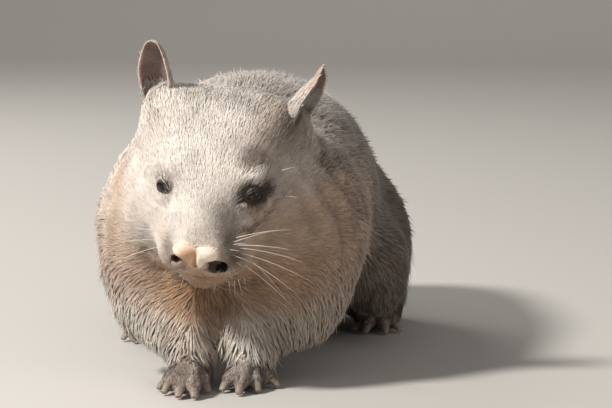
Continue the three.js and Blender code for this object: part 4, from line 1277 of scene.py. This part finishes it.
def ear_coat(side):
    """Short hair up the outside of an ear, and pale longer hair over the lower part of its cup."""
    mesh = bpy.data.objects[f"ear_leaf_{side}"].data
    points, normals, _ = mesh_arrays(mesh)
    corners = triangles_of(mesh)
    ground = BVHTree.FromPolygons(points.tolist(), corners.tolist())
    matrix = np.array(ear_matrix(side))
    rise = lambda places: (places - matrix[:3, 3]) @ matrix[:3, 2] / EAR_LENGTH
    outside = np.arange(len(points)) % (2 * EAR_COLUMNS + 2) <= EAR_COLUMNS
    low = ramp(rise(points), EAR_COVER[side] + 0.12, EAR_COVER[side] - 0.12)
    weight = np.where(outside, 0.5 + low, 2.2 * low) * (rise(points) > 0.02)
    face, inside = scattered(points, corners, weight, EAR_TUFTS)
    root = np.einsum("nk,nkd->nd", inside, points[corners[face]])
    up = unit(np.einsum("nk,nkd->nd", inside, normals[corners[face]]))
    kept = np.einsum("nk,nk->n", inside, weight[corners[face]]) > 0.2
    face, inside, root, up = face[kept], inside[kept], root[kept], up[kept]
    count = len(root)
    t = rise(root)
    lie = matrix[:3, 2] - up * (up @ matrix[:3, 2])[:, None]
    lie = unit(unit(lie) + np.cross(up, lie) * draw.normal(0, 0.25, count)[:, None])
    long = (0.0135 - 0.0095 * np.clip(t, 0, 1) ** 0.7) * draw.uniform(0.75, 1.2, count)
    cup = ~outside[corners[face]].any(1)
    pale = linear(PALE) * ((1 - 0.2 * ramp(t, 0.5, 1.0)) * (1 - 0.35 * cup))[:, None]
    coat = {
        "root": root, "up": up, "lie": lie, "face": face, "inside": inside, "length": long,
        "depth": (0.0034 - 0.0026 * np.clip(t, 0, 1)) * draw.uniform(0.5, 1.1, count),
        "width": (0.0005 + 0.04 * long) * draw.uniform(0.8, 1.2, count),
        "colour": pale * draw.uniform(0.75, 1.05, count)[:, None], "root_tone": np.full(count, 0.75),
    }
    put_coat(f"coat_ear_{side}", ground, coat, points, corners, np.arange(count), SHORT_HAIR)


hair = coat_material("hair", 0.6, 0.1, 0.0, 0.2)
hair_surface = hair.node_tree.nodes["Principled BSDF"]
hair_surface.inputs["Subsurface Weight"].default_value = 0.35
hair_surface.inputs["Subsurface Radius"].default_value = (1.0, 0.7, 0.5)
hair_surface.inputs["Subsurface Scale"].default_value = 0.003
grow_coat()
for side in SIDES:
    ear_coat(side)

# The whiskers
# Long pale bristles from the muzzle, brow and chin: thin tapered rods that arch and droop a little.
# Each row gives a whisker's root in the head's frame, its way, its length and how far it droops.
WHISKERS = {
    "beside the nose": (
        ((0.031, -0.093, -0.008), (0.8, -0.4, 0.35), 0.016, 0.001),
        ((0.034, -0.091, -0.016), (0.9, -0.4, 0.1), 0.018, 0.001),
        ((0.035, -0.09, -0.024), (0.9, -0.4, -0.15), 0.015, 0.001),
        ((0.032, -0.092, -0.03), (0.7, -0.5, -0.45), 0.013, 0.001),
        ((0.036, -0.089, -0.003), (0.8, -0.3, 0.5), 0.018, 0.001),
        ((0.03, -0.094, -0.034), (0.5, -0.5, -0.7), 0.011, 0.001),
    ),
    "muzzle, left": (
        ((0.036, -0.088, 0.0), (0.75, -0.25, 0.6), 0.06, 0.004),
        ((0.038, -0.086, 0.004), (0.8, -0.2, 0.5), 0.068, 0.006),
        ((0.039, -0.086, -0.006), (0.95, -0.2, 0.3), 0.062, 0.006),
        ((0.04, -0.084, -0.011), (1.0, -0.15, 0.16), 0.072, 0.01),
        ((0.041, -0.083, -0.018), (1.0, -0.15, -0.02), 0.08, 0.014),
        ((0.041, -0.082, -0.024), (0.9, -0.15, -0.25), 0.066, 0.012),
        ((0.04, -0.081, -0.031), (0.85, -0.1, -0.45), 0.07, 0.012),
        ((0.05, -0.07, -0.036), (0.8, -0.1, -0.6), 0.052, 0.01),
    ),
    "brow, left": (
        ((0.072, -0.022, 0.048), (0.7, -0.3, 0.6), 0.02, 0.002),
        ((0.076, -0.028, 0.02), (0.85, -0.3, 0.35), 0.018, 0.002),
    ),
    "muzzle, right": (
        ((-0.038, -0.086, -0.002), (-0.9, -0.2, 0.3), 0.05, 0.006),
        ((-0.04, -0.084, -0.012), (-1.0, -0.15, 0.05), 0.058, 0.01),
        ((-0.041, -0.082, -0.022), (-0.95, -0.15, -0.2), 0.052, 0.01),
    ),
    "brow, right": (
        ((-0.072, -0.022, 0.048), (-0.6, -0.3, 0.6), 0.018, 0.002),
    ),
    "chin": (
        ((0.028, -0.078, -0.062), (0.2, -0.35, -0.9), 0.014, 0.001),
        ((0.033, -0.074, -0.064), (0.1, -0.35, -0.9), 0.017, 0.001),
        ((0.037, -0.072, -0.062), (0.35, -0.35, -0.9), 0.018, 0.001),
        ((0.042, -0.068, -0.062), (0.3, -0.35, -0.9), 0.014, 0.001),
        ((0.014, -0.08, -0.064), (-0.1, -0.4, -0.9), 0.012, 0.001),
        ((-0.02, -0.078, -0.064), (-0.2, -0.4, -0.9), 0.012, 0.001),
    ),
}
WHISKER_COLOUR = "#efe3d8"
WHISKER_WIDTH = 0.0006
WHISKER_STEPS = 10


def whisker_mesh():
    verts, faces = [], []
    down = Vector(turn_to_world.T @ np.array((0, 0, -1)))
    for root, way, length, droop in sum(WHISKERS.values(), ()):
        way = Vector(way).normalized()
        across = way.orthogonal().normalized()
        first = len(verts)
        for k in range(WHISKER_STEPS + 1):
            t = k / WHISKER_STEPS
            middle = Vector(root) + way * (length * t - 0.004) + down * (droop * t * t)
            radius = WHISKER_WIDTH / 2 * (1 - 0.85 * t)
            for c in range(4):
                a = c * math.pi / 2
                verts.append(middle + (across * math.cos(a) + way.cross(across) * math.sin(a)) * radius)
        for k in range(WHISKER_STEPS):
            for c in range(4):
                low, high = first + 4 * k, first + 4 * k + 4
                faces.append((low + c, low + (c + 1) % 4, high + (c + 1) % 4, high + c))
        end = first + 4 * WHISKER_STEPS
        faces += [tuple(first + c for c in (3, 2, 1, 0)), tuple(end + c for c in range(4))]
    mesh = bpy.data.meshes.new("whiskers")
    mesh.from_pydata([tuple(head_to_world @ v) for v in verts], [], faces)
    colour_mesh(mesh, np.tile(linear(WHISKER_COLOUR), (len(verts), 1)))
    mesh.shade_smooth()
    return mesh


bristle_mesh = whisker_mesh()
bristle_mesh.materials.append(coat_material("bristle", 0.4, 0.0, 0.0, 0.0))
bristles = bpy.data.objects.new("whiskers", bristle_mesh)
bpy.context.scene.collection.objects.link(bristles)
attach(bristles, "root")
